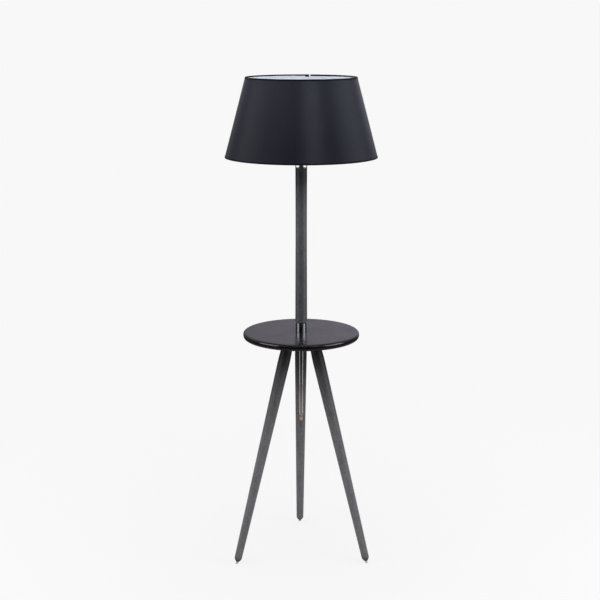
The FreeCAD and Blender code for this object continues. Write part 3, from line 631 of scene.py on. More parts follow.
def swept(name, path, radius, sides=14, rad_fn=None):
    """A round bar along points (millimetres), with rounded ends."""
    pts = [Vector(p) for p in path]
    n = len(pts)
    tang = []
    for i in range(n):
        a, b = pts[max(0, i - 1)], pts[min(n - 1, i + 1)]
        tang.append((b - a).normalized())
    ref = Vector((0, 0, 1)) if abs(tang[0].z) < 0.9 else Vector((1, 0, 0))
    side = tang[0].cross(ref).normalized()
    verts, faces, uvs = [], [], []
    run = 0.0
    rings = []
    for i in range(n):
        if i:
            run += (pts[i] - pts[i - 1]).length
            side = (side - tang[i] * side.dot(tang[i])).normalized()
        up = side.cross(tang[i])
        rr = radius * (rad_fn(i / (n - 1.0)) if rad_fn else 1.0)
        rings.append((pts[i], side.copy(), up, rr, run))
    # rounded ends
    full = []
    for s, idx in ((-1, 0), (1, n - 1)):
        c, sd, up, rr, rn = rings[idx]
        caps = []
        for a in (75, 50, 25):
            q = math.radians(a)
            caps.append((c + tang[idx] * s * rr * math.sin(q) * 0.6, sd, up, rr * math.cos(q), rn))
        full.append(caps)
    rings = full[0] + rings + full[1][::-1]
    for (c, sd, up, rr, rn) in rings:
        for j in range(sides):
            a = 2 * math.pi * j / sides
            verts.append(c + sd * rr * math.cos(a) + up * rr * math.sin(a))
    for i in range(len(rings) - 1):
        for j in range(sides):
            j2 = (j + 1) % sides
            faces.append((i * sides + j, i * sides + j2, (i + 1) * sides + j2, (i + 1) * sides + j))
            u0, u1 = radius * 2 * math.pi * j / sides, radius * 2 * math.pi * (j + 1) / sides
            uvs.append([(u0, rings[i][4]), (u1, rings[i][4]), (u1, rings[i + 1][4]), (u0, rings[i + 1][4])])
    faces.append(tuple(range(sides)))
    uvs.append([(0, 0)] * sides)
    faces.append(tuple((len(rings) - 1) * sides + j for j in range(sides)))
    uvs.append([(0, run)] * sides)
    mesh = bpy.data.meshes.new(name)
    co = np.array([tuple(v) for v in verts])
    mesh.from_pydata((co * 0.001).tolist(), [], faces)
    surf = mesh.attributes.new("surf", "FLOAT_VECTOR", "CORNER")
    surf.data.foreach_set("vector", np.array([c for uv in uvs for (a, b) in uv for c in (a, b, 0.0)], np.float32))
    return seal(mesh, co)


def join_meshes(name, meshes):
    """Several closed meshes as one mesh."""
    bm = bmesh.new()
    for m in meshes:
        bm.from_mesh(m)
    out = bpy.data.meshes.new(name)
    bm.to_mesh(out)
    bm.free()
    for m in meshes:
        bpy.data.meshes.remove(m)
    return out


def polar(r, az, z=0.0):
    return (r * math.cos(math.radians(az)), r * math.sin(math.radians(az)), z)


# ------------------------------------------------------------------ table
TOP, LOW = 699.5, 680.0
prof = ([(5.3, LOW), (60.0, LOW), (120.0, LOW), (165.5, LOW)] + arc(165.5, LOW + 9.5, 9.5, -90, 0, 18)
        + arc(168.5, TOP - 6.5, 6.5, 0, 90, 18)
        + [(150.0, TOP), (100.0, TOP), (50.0, TOP), (30.0, TOP), (18.0, TOP), (17.34, TOP), (17.26, TOP - 0.08), (17.26, TOP - 0.5), (5.3, TOP - 0.5)])
piece(turned("tabletop_board", prof, 288, 30.0), "stand", "table_lacquer", ["tabletop"])

# ------------------------------------------------------------------ legs
FOOT_CIRCLE, FOOT_Z, TOP_CIRCLE = 225.5, 10.33, 42.5
RUN, RISE = FOOT_CIRCLE - TOP_CIRCLE, LOW - FOOT_Z
LEN = math.hypot(RUN, RISE)
LCOS, LSIN = RISE / LEN, RUN / LEN
SEAT = (668.0 - FOOT_Z) / LCOS


def leg_matrix(az, turn=0.0):
    p = Vector(polar(FOOT_CIRCLE, az, FOOT_Z)) * 0.001
    d = Vector(polar(-LSIN, az, LCOS))
    q = Vector((0, 0, 1)).rotation_difference(d)
    return Matrix.Translation(p) @ q.to_matrix().to_4x4() @ Matrix.Rotation(math.radians(turn), 4, "Z")


def leg_radius(s):
    near = max(0.0, 66.0 - (SEAT - s)) / 66.0
    return 11.1 + (19.1 - 11.1) * s / LEN - 3.8 * near * near


def through(a, b, c, n):
    """Points of the arc from a to c by way of b."""
    d = 2.0 * (a[0] * (b[1] - c[1]) + b[0] * (c[1] - a[1]) + c[0] * (a[1] - b[1]))
    qa, qb, qc = (p[0] * p[0] + p[1] * p[1] for p in (a, b, c))
    ox = (qa * (b[1] - c[1]) + qb * (c[1] - a[1]) + qc * (a[1] - b[1])) / d
    oy = (qa * (c[0] - b[0]) + qb * (a[0] - c[0]) + qc * (b[0] - a[0])) / d
    rad = math.hypot(a[0] - ox, a[1] - oy)
    t0, t1 = math.atan2(a[1] - oy, a[0] - ox), math.atan2(c[1] - oy, c[0] - ox)
    return [(ox + rad * math.cos(t0 + (t1 - t0) * i / n), oy + rad * math.sin(t0 + (t1 - t0) * i / n)) for i in range(n + 1)]


def table_of(rows, v):
    """Straight lines between (place, value) pairs."""
    if v <= rows[0][0]:
        return rows[0][1]
    for (a, fa), (b, fb) in zip(rows, rows[1:]):
        if v <= b:
            return fa + (fb - fa) * (v - a) / (b - a)
    return rows[-1][1]


# painted shade: how much of the wood's own colour shows, by the distance from the upper end in mm; the darkening stands
# in for the shadow under the table (legs, the rear leg more) and under the shade (post)
LEG_PAINTED_SHADE = ((0.0, 0.0), (29.0, 0.0), (68.0, 0.14), (107.0, 0.39), (146.0, 0.54), (185.0, 0.70), (225.0, 0.78),
             (265.0, 0.85), (300.0, 0.92), (340.0, 0.98), (400.0, 1.0))
REAR_PAINTED_SHADE = ((0.0, 0.0), (29.0, 0.0), (68.0, 0.05), (107.0, 0.15), (146.0, 0.31), (185.0, 0.50), (225.0, 0.63),
              (265.0, 0.74), (300.0, 0.79), (340.0, 0.87), (400.0, 0.98), (460.0, 1.10))
POST_PAINTED_SHADE = ((0.0, 0.0), (12.0, 0.01), (39.0, 0.08), (66.0, 0.34), (93.0, 0.50), (120.0, 0.66), (147.0, 0.81),
              (174.0, 0.90), (210.0, 0.85), (300.0, 0.84), (400.0, 0.86), (463.0, 0.95))


# painted shade along the leg: darker under the table, and at the foot tip darkened over its last 30 mm, standing in for
# the shade where it meets the floor
def leg_painted_shade(rows):
    def tone(s):
        return table_of(rows, SEAT - s) * table_of(((-4.4, 0.10), (-2.4, 0.20), (0.0, 0.38), (4.0, 0.62), (9.0, 0.80), (18.0, 0.95), (30.0, 1.0)), s)
    return tone


for where, az, turn in (("front_left", 210.0, 20.0), ("front_right", 330.0, 140.0), ("rear", 90.0, 250.0)):
    rt = leg_radius(SEAT)
    prof = [(1.05, -4.4)] + through((4.5, -4.4), (8.95, 0.90), (leg_radius(6.6) - 0.05, 6.4), 10)
    prof += [(leg_radius(7.6), 7.6), (leg_radius(9.5), 9.5)]
    prof += [(leg_radius(s), s) for s in range(30, 615, 32)]
    prof += [(leg_radius(SEAT - d), SEAT - d) for d in (62.0, 55.0, 48.0, 40.0, 32.0, 24.0, 17.0, 11.0, 6.0)]
    prof += [(leg_radius(SEAT - 1.6), SEAT - 1.6), (leg_radius(SEAT) - 0.5, SEAT - 0.6), (rt - 1.5, SEAT), (4.05, SEAT),
             (4.05, SEAT - 46.0), (0.0, SEAT - 46.4), (0.0, 8.4), (1.05, 8.0)]
    mesh = turned("leg_" + where + "_turned", prof, 64, 30.0, None, 0.0, 360.0, 12.0,
                  leg_painted_shade(REAR_PAINTED_SHADE if where == "rear" else LEG_PAINTED_SHADE))
    # each leg is cut from its own stretch of the blank
    shift = {"front_left": (0, 0, 0), "front_right": (9.0, 13.0, 900.0), "rear": (-14.0, 6.0, 2100.0)}[where]
    co = np.zeros(len(mesh.vertices) * 3, np.float32)
    mesh.attributes["loc"].data.foreach_get("vector", co)
    co = co.reshape(-1, 3) + np.array(shift, np.float32)
    mesh.attributes["loc"].data.foreach_set("vector", co.ravel())
    piece(mesh, "stand", "grey_wood", ["leg_" + where], leg_matrix(az, turn))

# ------------------------------------------------------------------ post and what holds it
def post_radius(z):
    """Slimmest above the middle, a little fuller again below the cap."""
    if z < 990.0:
        return 17.9 - (z - 729.9) / 260.1
    return 16.9 - 0.000714 * (z - 990.0) + 0.00001583 * (z - 990.0) ** 2


prof = [(5.4, 734.9), (9.05, 734.9), (9.05, 729.0), (16.9, 729.0), (17.45, 729.15), (17.9, 729.9)]
prof += [(post_radius(z), z) for z in range(760, 1180, 30)]
prof += [(17.4, 1191.7), (17.15, 1192.25), (16.6, 1192.5), (5.4, 1192.5)]
mesh = turned("post_turned", prof, 96, 30.0, None, 0.0, 360.0, 15.0, lambda z: table_of(POST_PAINTED_SHADE, 1192.5 - z))
co = np.zeros(len(mesh.vertices) * 3, np.float32)
mesh.attributes["loc"].data.foreach_get("vector", co)
mesh.attributes["loc"].data.foreach_set("vector", (co.reshape(-1, 3) + np.array((5.0, -11.0, 3400.0), np.float32)).ravel())
post = piece(mesh, "stand", "grey_wood", ["post"])
# the post's two bands are painted highlights of the side lamps
post.data.materials[0] = stained_wood("grey_wood_post", "own", 1.0, (0.952, 1.0, 1.078), ((15.5, 5.5, 0.40), (-5.5, 4.0, 0.22)))

SEAL_TOP = 699.6
prof = ([(13.6, SEAL_TOP), (17.05, SEAL_TOP)] + arc(17.05, SEAL_TOP + 0.15, 0.15, -90, 0, 4)
        + [(17.2, 699.85), (17.2, 700.6), (17.2, 705.0), (17.2, 712.0), (17.2, 719.0), (17.2, 724.5), (17.2, 725.8), (17.2, 726.05)]
        + arc(16.85, 726.15, 0.35, 0, 90, 4)
        + [(9.0, 726.5), (9.0, 734.5), (5.3, 734.5), (5.3, 721.5), (13.6, 721.5)])
piece(turned("collar_polished", prof, 128, 30.0), "stand", "polished_steel", ["collar"])
piece(turned("collar_spacer_ring", [(9.05, 726.5), (15.3, 726.5), (15.5, 726.7), (15.5, 728.8), (15.3, 729.0), (9.05, 729.0)],
             96, 24.0), "stand", "black_fibre", ["collar_spacer"])


def ear(name, sx):
    """An upturned ear of the cap: outside on the cap's round, corners and edges eased."""
    half, top, foot, corner, ease = 5.5, 1206.8, 1193.4, 2.6, 0.3
    cols = [-half, -half + 0.35, -4.4, -3.6, -2.6, -1.3, 0.0, 1.3, 2.6, 3.6, 4.4, half - 0.35, half]

    def crest(y):
        d = max(0.0, abs(y) - (half - corner))
        return top - corner + math.sqrt(max(0.0, corner * corner - d * d))

    def loop(inset, x_of):
        k = (half - inset) / half
        ys = [y * k for y in cols]
        ring = [(x_of(y), y, foot) for y in ys]
        ring += [(x_of(y), y, crest(y / k) - inset) for y in reversed(ys)]
        return ring

    inner = lambda y: 14.8
    outer = lambda y: math.sqrt(17.38 ** 2 - y * y)
    loops = [loop(ease, inner), loop(0.09, lambda y: 14.8 + 0.09), loop(0.0, lambda y: 14.8 + ease),
             loop(0.0, lambda y: outer(y) - ease), loop(0.09, lambda y: outer(y) - 0.09), loop(ease, outer)]
    n, m = len(loops[0]), len(cols)
    verts = [(sx * x, y, z) for lp_ in loops for (x, y, z) in lp_]
    faces = []
    for i in range(len(loops) - 1):
        for j in range(n):
            k = (j + 1) % n
            faces.append((i * n + j, i * n + k, (i + 1) * n + k, (i + 1) * n + j))
    for base in (0, (len(loops) - 1) * n):
        for j in range(m - 1):
            faces.append((base + j, base + j + 1, base + n - 2 - j, base + n - 1 - j))
    mesh = bpy.data.meshes.new(name)
    co = np.array(verts)
    mesh.from_pydata((co * 0.001).tolist(), [], faces)
    bm = bmesh.new()
    bm.from_mesh(mesh)
    bmesh.ops.recalc_face_normals(bm, faces=bm.faces)
    for e in bm.edges:
        if len(e.link_faces) == 2 and e.calc_face_angle() > math.radians(50):
            e.smooth = False
    bm.to_mesh(mesh)
    bm.free()
    return seal(mesh, co)


cap_disc = turned("post_cap_round", [(5.2, 1192.5), (17.2, 1192.5), (17.4, 1192.7)] + arc(16.7, 1194.3, 0.7, 0, 90, 5)
                  + [(8.2, 1195.0), (8.0, 1194.8), (7.4, 1194.8), (7.2, 1195.0), (5.2, 1195.0)], 96, 24.0)
piece(join_meshes("post_cap_eared", [cap_disc, ear("ear_left", -1), ear("ear_right", 1)]), "stand", "black_steel", ["post_cap"])


def grip(count, depth, z0, z1):
    """Fine straight knurling between two heights."""
    def w(r, z, a):
        if r > 5.9 and z0 < z < z1:
            r -= depth * (0.5 + 0.5 * math.cos(math.radians(a * count)))
        return r, z, a
    return w


piece(turned("lock_nut_knurled", [(5.02, 1195.0), (6.15, 1195.0), (6.5, 1195.35), (6.5, 1195.6), (6.5, 1198.4), (6.5, 1198.65),
                                  (6.15, 1199.0), (5.02, 1199.0)], 160, 24.0, grip(40, 0.3, 1195.5, 1198.5)),
      "stand", "black_steel", ["lock_nut"])


# ------------------------------------------------------------------ threads
def thread(pitch, depth, z0, z1, r_min, fade=2.0, lead=1):
    """A round thread: the wall swells and shrinks along a helix."""
    def w(r, z, a):
        if r >= r_min and z0 < z < z1:
            f = min(1.0, (z - z0) / fade, (z1 - z) / fade)
            r -= depth * max(0.0, f) * (0.5 - 0.5 * math.cos(2 * math.pi * (z / pitch - lead * a / 360.0)))
        return r, z, a
    return w


# lamp pipe, M10 x 1, in full
piece(turned("lamp_pipe_threaded", [(3.8, 650.0), (4.4, 650.0), (5.0, 650.6)] + [(5.0, 650.6 + 0.25 * i) for i in range(1, 55)]
             + [(5.0, 664.4), (5.0, 668.4), (5.0, 700.0), (5.0, 1100.0), (5.0, 1189.0)]
             + [(5.0, 1189.0 + 0.25 * i) for i in range(1, 66)] + [(5.0, 1205.4), (4.4, 1206.0), (3.8, 1206.0)],
             48, 40.0, lambda r, z, a: thread(1.0, 0.42, 650.4, 664.3, 4.9, 0.6)(r, z, a) if z < 700 else
             thread(1.0, 0.42, 1189.2, 1205.6, 4.9, 0.6)(r, z, a)), "stand", "zinc_steel", ["lamp_pipe"])

# ------------------------------------------------------------------ cord tube under the table
tube_piece = piece(turned("cord_tube_polished", [(5.8, 443.0), (6.45, 443.0), (6.6, 443.15), (6.6, 470.0), (6.6, 520.0), (6.6, 570.0), (6.6, 620.0), (6.6, 664.2),
                                    (6.4, 664.4), (5.8, 664.4)], 96, 24.0), "stand", "polished_steel", ["cord_tube"])
ferrule_piece = piece(turned("tube_end_ferrule", [(5.02, 435.5), (5.4, 435.5), (5.7, 435.65), (5.9, 436.0)]
             + [(5.9 + 0.7 * math.sin(math.pi / 2 * t), 436.0 + 5.0 * t) for t in (0.2, 0.4, 0.6, 0.8, 1.0)]
             + [(6.6, 442.85), (6.45, 443.0), (5.78, 443.0), (5.78, 453.0), (5.02, 453.0)], 96, 32.0),
      "stand", "polished_steel", ["tube_end_cap"])
tube_plating = polished("warm_nickel_own", "own", (0.60, 0.565, 0.545), (0.54, 0.51, 0.49))
for obj in (tube_piece, ferrule_piece):
    obj.data.materials[0] = tube_plating
piece(turned("coupler_ring", [(5.02, 644.4), (5.78, 644.4), (5.78, 664.4), (9.5, 664.4), (10.0, 664.9), (10.0, 665.2), (10.0, 667.6), (10.0, 667.9),
                              (9.5, 668.4), (5.02, 668.4)], 180, 24.0,
             lambda r, z, a: (r - (0.35 * (0.5 + 0.5 * math.cos(math.radians(a * 45))) if r > 9.9 and 665.0 < z < 667.8 else 0.0), z, a)),
      "stand", "zinc_steel", ["tube_coupler"])
piece(turned("outlet_nipple_threaded", [(4.02, 429.5), (4.6, 429.5), (5.0, 429.9)] + [(5.0, 429.9 + 0.12 * i) for i in range(1, 47)]
             + [(5.0, 435.6), (5.0, 446.0), (4.02, 446.0)], 64, 40.0, thread(0.9, 0.28, 429.9, 435.45, 4.9, 0.5)),
      "stand", "brass", ["outlet_nipple"])
piece(turned("outlet_bushing_moulded", [(3.7, 419.5), (3.9, 419.5)] + [(3.9 + 0.5 * math.sin(math.radians(q)), 420.3 - 0.8 * math.cos(math.radians(q))) for q in (30, 60, 90)]
             + [(4.46, 423.0), (4.36, 423.4), (4.52, 423.8), (4.58, 426.0), (4.48, 426.4), (4.64, 426.8), (4.7, 429.5), (4.0, 429.5), (4.0, 441.5), (3.2, 441.5), (3.2, 420.3)],
             72, 38.0), "stand", "pale_nylon", ["outlet_bushing"])

# ------------------------------------------------------------------ lampholder
ROUND = lambda count, depth, ok: (lambda r, z, a: (r - (depth * (0.5 + 0.5 * math.cos(math.radians(a * count))) ** 3 if ok(r, z) else 0.0), z, a))
prof = ([(15.0, 1230.0), (21.5, 1230.0)] + arc(21.5, 1230.5, 0.5, -90, 0, 4) + [(22.0, 1231.6)] + arc(21.6, 1231.6, 0.4, 0, 90, 4)
        + [(19.9, 1232.0), (19.5, 1232.2)] + [(19.5, 1232.2 + 0.4 * i) for i in range(1, 72)]
        + [(19.5, 1261.0), (19.1, 1261.7), (18.5, 1262.0), (17.0, 1262.0), (16.6, 1261.6), (16.6, 1232.0), (15.0, 1232.0)])
piece(turned("lampholder_skirt_threaded", prof, 120, 32.0, thread(3.0, 0.75, 1240.4, 1260.6, 19.3, 1.5)), "stand", "black_plastic", ["lampholder_skirt"])

SCALLOP = 12


def scallops(r, z, a):
    if r > 22.0 and z > 1234.7:
        d = abs((a + 15.0) % 30.0 - 15.0)                     # degrees from a groove's middle
        half = 2.4
        x = math.radians(d) * 24.0
        if x < half:
            reach = 25.6 - math.sqrt(half * half - x * x)
            r = min(r, reach)
    return r, z, a


prof = ([(19.55, 1233.6), (23.7, 1233.6), (24.0, 1233.9), (24.0, 1234.8), (24.0, 1235.0), (24.0, 1235.6), (23.62, 1237.4), (23.3, 1238.9)]
        + [(23.0, 1239.4), (22.5, 1239.6), (19.9, 1239.6), (19.55, 1239.3)])
piece(turned("shade_clamp_nut", prof, 240, 32.0, scallops), "stand", "black_plastic", ["shade_clamp_ring"])

# screw shell of the holder and cap of the bulb, both with the round thread
shell = [(13.5, 1240.0), (14.2, 1240.0)] + [(14.2, 1240.0 + 0.45 * i) for i in range(1, 40)] + [(14.2, 1258.0), (13.5, 1258.0)]
shell += [(13.5, 1258.0 - 0.45 * i) for i in range(1, 40)]
piece(turned("screw_shell_rolled", shell, 96, 40.0,
             lambda r, z, a: thread(3.63, 0.55, 1240.8, 1257.4, 14.0, 1.2)(r, z, a) if r > 14.0 else
             (r, z, a)), "stand", "brass", ["screw_shell"])
BC = 1241.6
cap = [(12.7, BC + 3.4), (13.1, BC + 3.4)] + [(13.1, BC + 3.4 + 0.4 * i) for i in range(1, 46)] + [(13.1, BC + 22.0), (12.7, BC + 22.0)]
piece(turned("bulb_cap_rolled", cap, 96, 40.0, thread(3.63, 0.38, BC + 4.0, BC + 20.5, 13.0, 1.2)), "stand", "nickel", ["bulb_screw_cap"])

# bulb body and dome
prof = [(11.2, BC + 6.0), (12.6, BC + 6.0), (12.6, BC + 22.0), (13.2, BC + 22.0), (13.4, BC + 22.2), (15.6, BC + 30.0)]
p0, p1, p2 = (15.6, BC + 30.0), (21.4, BC + 43.5), (28.6, BC + 57.0)
prof += [tuple((1 - t) * (1 - 2 * t) * p0[i] + 4 * t * (1 - t) * p1[i] + t * (2 * t - 1) * p2[i] for i in (0, 1))
         for t in [k / 10 for k in range(1, 11)]]
prof += [(28.2, BC + 57.0), (28.0, BC + 56.7), (27.2, BC + 56.7), (27.0, BC + 57.0), (27.0, BC + 54.0), (24.6, BC + 54.0), (19.6, BC + 42.5), (14.0, BC + 31.0), (11.2, BC + 24.0)]
piece(turned("bulb_body", prof, 96, 30.0), "stand", "bulb_white", ["bulb_housing"])
DZ = BC + 72.0
prof = [(28.6, BC + 57.0), (29.68, BC + 64.5), (30.0, DZ)] + arc(0, DZ, 30.0, 6, 84, 20) + [(0.0, DZ + 30.0), (0.0, DZ + 28.8)] \
    + arc(0, DZ, 28.8, 84, 6, 20) + [(28.8, DZ), (28.48, BC + 64.5), (27.4, BC + 57.0)]
piece(turned("bulb_dome", prof, 96, 40.0), "stand", "bulb_opal", ["bulb_diffuser"])

# ------------------------------------------------------------------ shade
Z_TOP, Z_LOW, R_LOW = 1458.7, 1226.3, 225.0
SLOPE = (225.0 - 163.4) / (Z_TOP - Z_LOW)
COSC = math.cos(math.atan(SLOPE))


def wall(z, depth):
    return R_LOW - SLOPE * (z - Z_LOW) - depth / COSC


SEAM_AZ = 84.0
z0, z1 = Z_LOW + 0.4, Z_TOP - 0.4


def cloth_seam(r, z, a):
    """The cloth's end laps over its start at the back: a step 0.35 mm high."""
    d = (a - SEAM_AZ) % 360.0
    if wall(z, 0.85) < r:
        lap = 3.2
        if d < lap:
            r += 0.34 * min(1.0, (lap - d) / 0.9)
        # the laminate is never quite true
        t = math.radians(a)
        r += 0.10 * math.sin(3 * t + 0.7) * math.sin(math.pi * (z - z0) / (z1 - z0)) \
            + 0.06 * math.sin(11 * t + z * 0.02) * math.sin(math.pi * (z - z0) / (z1 - z0))
    return r, z, a


rows = 24
prof = [(wall(z0, 1.2), z0), (wall(z0, 0.4), z0)]
prof += [(wall(z0 + (z1 - z0) * i / rows, 0.4), z0 + (z1 - z0) * i / rows) for i in range(1, rows + 1)]
prof += [(wall(z1, 1.2), z1)]
prof += [(wall(z1 - (z1 - z0) * i / rows, 1.2), z1 - (z1 - z0) * i / rows) for i in range(1, rows)]
segs = 720
# the columns of the mesh start just behind the seam's step, so that the step is clean
cover = turned("shade_cover_cloth", prof, segs, 40.0, cloth_seam, SEAM_AZ - 0.02, 360.0)
piece(cover, "shade", "shade_fabric", ["shade_cover"])

prof = [(wall(z0, 2.1), z0), (wall(z0, 1.2), z0)]
prof += [(wall(z0 + (z1 - z0) * i / 8, 1.2), z0 + (z1 - z0) * i / 8) for i in range(1, 9)]
prof += [(wall(z1, 2.1), z1)]
prof += [(wall(z1 - (z1 - z0) * i / 8, 2.1), z1 - (z1 - z0) * i / 8) for i in range(1, 8)]


def liner_seam(r, z, a):
    d = (a - SEAM_AZ + 2.6) % 360.0
    if r < wall(z, 1.6) and d < 4.2:
        r -= 0.4 * min(1.0, (4.2 - d) / 0.6, d / 0.25 + 0.01)
    return r, z, a


piece(turned("shade_lining_sheet", prof, 480, 40.0, liner_seam, SEAM_AZ - 3.0), "shade", "shade_lining", ["shade_liner"])

# wire rings
zt, zb = z1 - 1.55, z0 + 1.55
rt_ring = wall(zt, 2.1) - 1.5 / COSC - 0.02
rb_ring = wall(zb, 2.1) - 1.5 / COSC - 0.02
for nm, rr, zz, rep in (("wire_ring_top", rt_ring, zt, "shade_top_ring"), ("wire_ring_bottom", rb_ring, zb, "shade_bottom_ring")):
    piece(turned(nm, arc(rr, zz, 1.5, 0, 342, 19), 288, 60.0), "shade", "white_wire", [rep])

# edge tapes, folded round the rims
GAP_AZ, GAP, GAP_LOW = 79.7, 1.6, 0.25
ARM_AZ = (51.7, 171.7, 291.7)


def tape(name, zedge, up, rep):
    s = -1.0 if up else 1.0
    T = 0.4
    zo, zi, zin = zedge + s * 4.5, zedge + s * 4.0, zedge + s * T
    ring_r = rt_ring if up else rb_ring
    inner = ring_r - 1.5 - 0.05
    outer = [(wall(zo + (zedge - zo) * t, 0), zo + (zedge - zo) * t) for t in (0.0, 0.08, 0.3, 0.6, 0.85, 0.95)]
    rim = wall(zedge, 0)
    over = [(rim - 0.18, zedge), (rim - 1.5, zedge), (rim - 3.0, zedge), (inner - T + 0.25, zedge), (inner - T, zedge + s * 0.25)]
    inside = [(inner - T, zedge + s * q) for q in (1.0, 2.0, 3.0, 3.8)] + [(inner - T, zi), (inner, zi)]
    back = [(inner, zedge + s * 2.0), (inner, zin), (wall(zin, T), zin), (wall(zo, T), zo)]
    pr = outer + over + inside + back

    def w(r, z, a):
        # hand-laid: the free edges wander a little, and the tape's end laps over its start
        t = math.radians(a)
        wander = 0.16 * math.sin(9 * t + 1.0) + 0.10 * math.sin(23 * t + (2.0 if up else 0.4)) + 0.05 * math.sin(61 * t)
        dz = abs(z - zedge)
        if dz > 3.3:
            z += s * wander * (dz - 3.3) / 1.2
        d = (GAP_AZ - a) % 360.0
        if up and d < GAP_AZ - 51.7 + 0.3 and abs(r - (inner - T)) < 0.3 and dz > 0.9:
            # the lapped stretch on the inside, between the gap and the step
            k = min(1.0, (GAP_AZ - 51.7 + 0.3 - d) / 0.35)
            r -= 0.35 * k
            if dz > 3.0:
                z += s * 0.75 * k * (dz - 3.0)
        # past the gap the tape's start is folded in once more and stands lower inside
        e = a % 360.0 - GAP_AZ - GAP / 2
        if up and 0.0 <= e < 4.2 and abs(r - (inner - T)) < 0.6:
            k = min(1.0, e / 0.25 + 0.15, (4.2 - e) / 0.3)
            if dz > 2.0:
                z += s * 2.6 * k * (dz - 2.0) / 2.0
            if dz > 0.8 and abs(r - (inner - T)) < 0.3:
                r -= 0.5 * k
        return r, z, a

    gap = GAP if up else GAP_LOW
    m = turned(name, pr, 900, 50.0, w, GAP_AZ + gap / 2, 360.0 - gap)
    return piece(m, "shade", "edge_tape", [rep])


tape("edge_tape_top", Z_TOP, True, "shade_top_tape")

# ------------------------------------------------------------------ bottom tape
tape("edge_tape_bottom", Z_LOW, False, "shade_bottom_tape")

# ------------------------------------------------------------------ carrier
FIT_Z = 1232.3
piece(turned("carrier_ring_flat", [(20.0, FIT_Z + 0.15), (20.15, FIT_Z), (29.8, FIT_Z), (30.0, FIT_Z + 0.2), (30.0, FIT_Z + 0.8), (29.8, FIT_Z + 1.0),
                                   (20.15, FIT_Z + 1.0), (20.0, FIT_Z + 0.85)], 144, 40.0), "shade", "white_wire", ["fitter_ring"])
za = FIT_Z + 1.0 + 1.6 - 0.25
zo = zb + 1.5 + 1.6 - 0.25
bars, beads = [], []
for az in ARM_AZ:
    p, q = Vector(polar(25.4, az, za)), Vector(polar(rb_ring + 0.3, az, zo))
    path = []
    for i in range(25):
        t = i / 24.0
        path.append(p.lerp(q, t) + Vector((0, 0, -0.25 * math.sin(math.pi * t))))
    bars.append(swept("arm_%d" % int(az), path, 1.6, 20,
                      lambda t: 1.0 - 0.22 * max(0.0, 1.0 - t / 0.03) ** 2))
piece(join_meshes("carrier_arms_wire", bars), "shade", "white_wire", ["carrier_arms"])


def bead(name, centre, size, seed):
    """A small lumpy weld fillet."""
    bm = bmesh.new()
    bmesh.ops.create_icosphere(bm, subdivisions=3, radius=1.0)
    r = random.Random(seed)
    ph = [r.uniform(0, 6.28) for _ in range(4)]
    for v in bm.verts:
        c = v.co
        k = 1.0 + 0.07 * math.sin(5 * c.x + ph[0]) + 0.06 * math.sin(6 * c.y + ph[1]) + 0.05 * math.sin(9 * c.z + ph[2])
        v.co = Vector((c.x * size[0], c.y * size[1], c.z * size[2])) * k
    a = math.radians(centre[1])
    bmesh.ops.rotate(bm, verts=bm.verts, cent=(0, 0, 0), matrix=Matrix.Rotation(a, 3, "Z"))
    bmesh.ops.translate(bm, verts=bm.verts, vec=Vector(polar(centre[0], centre[1], centre[2])))
    for v in bm.verts:
        v.co *= 0.001
    me = bpy.data.meshes.new(name)
    bm.to_mesh(me)
    bm.free()
    return seal(me)


welds = []
for i, az in enumerate(ARM_AZ):
    welds.append(bead("w1", (27.6, az, FIT_Z + 1.3), (3.0, 2.1, 0.75), 10 + i))
    welds.append(bead("w2", (rb_ring - 0.9, az, zb + 1.35), (1.7, 2.6, 0.9), 20 + i))
piece(join_meshes("carrier_welds", welds), "shade", "white_wire")

# ------------------------------------------------------------------ glides, screws and other CAD pieces that stay as they are
slots = {part["node"]: part["material_slot"] for part in frame["record"]["subparts"]}
for name, node in nodes.items():
    if node.hide_render:
        continue
    slot = slots[name]
    mat = finish_of(slot, "cad")
    if not node.data.materials:
        node.data.materials.append(mat)
    for i in range(len(node.material_slots)):
        node.material_slots[i].material = mat

# ------------------------------------------------------------------ floor
def disc(name, radius, segs=96):
    bm = bmesh.new()
    bmesh.ops.create_circle(bm, cap_ends=True, segments=segs, radius=radius)
    me = bpy.data.meshes.new(name)
    bm.to_mesh(me)
    bm.free()
    o = bpy.data.objects.new(name, me)
    scene.collection.objects.link(o)
    return o


floor = disc("studio_floor", 60.0)
floor.location.z = -0.0002
fm = Mat("studio_paper", "cad")
t = fm.t
t.nodes.remove(fm.b)
lp = fm.node("ShaderNodeLightPath")
geo = fm.node("ShaderNodeNewGeometry")
pos = fm.xyz(geo.outputs["Position"])
PALE = 0.939
# seen by the camera: mostly an even glow, with a little of the true light so that the feet touch the floor
glow = fm.node("ShaderNodeEmission")
glow.inputs[0].default_value = (1.0, 1.0, 1.0, 1.0)
FLOOR_REAL = 0.22
FLOOR_LIT = ((0.4, 0.55), (1.8, 0.42))      # (metres from the axis, radiance)
paper = fm.node("ShaderNodeBsdfDiffuse")
# the paper ends some way in front of the lamp; beyond it the studio is dark
reach = fm.math("SQRT", fm.math("ADD", fm.math("MULTIPLY", pos[0], pos[0]), fm.math("MULTIPLY", pos[1], pos[1])))
edge = fm.math("MULTIPLY", fm.fit(pos[1], -2.30, -1.95, 0.06, 1.0, True), fm.fit(reach, 0.7, 1.5, 0.80, 0.40, True))
paper.inputs[0].default_value = (0.8, 0.8, 0.8, 1.0)
shown = fm.node("ShaderNodeMixShader")
far = fm.fit(reach, 1.0, 2.2, FLOOR_REAL, 0.0, True)
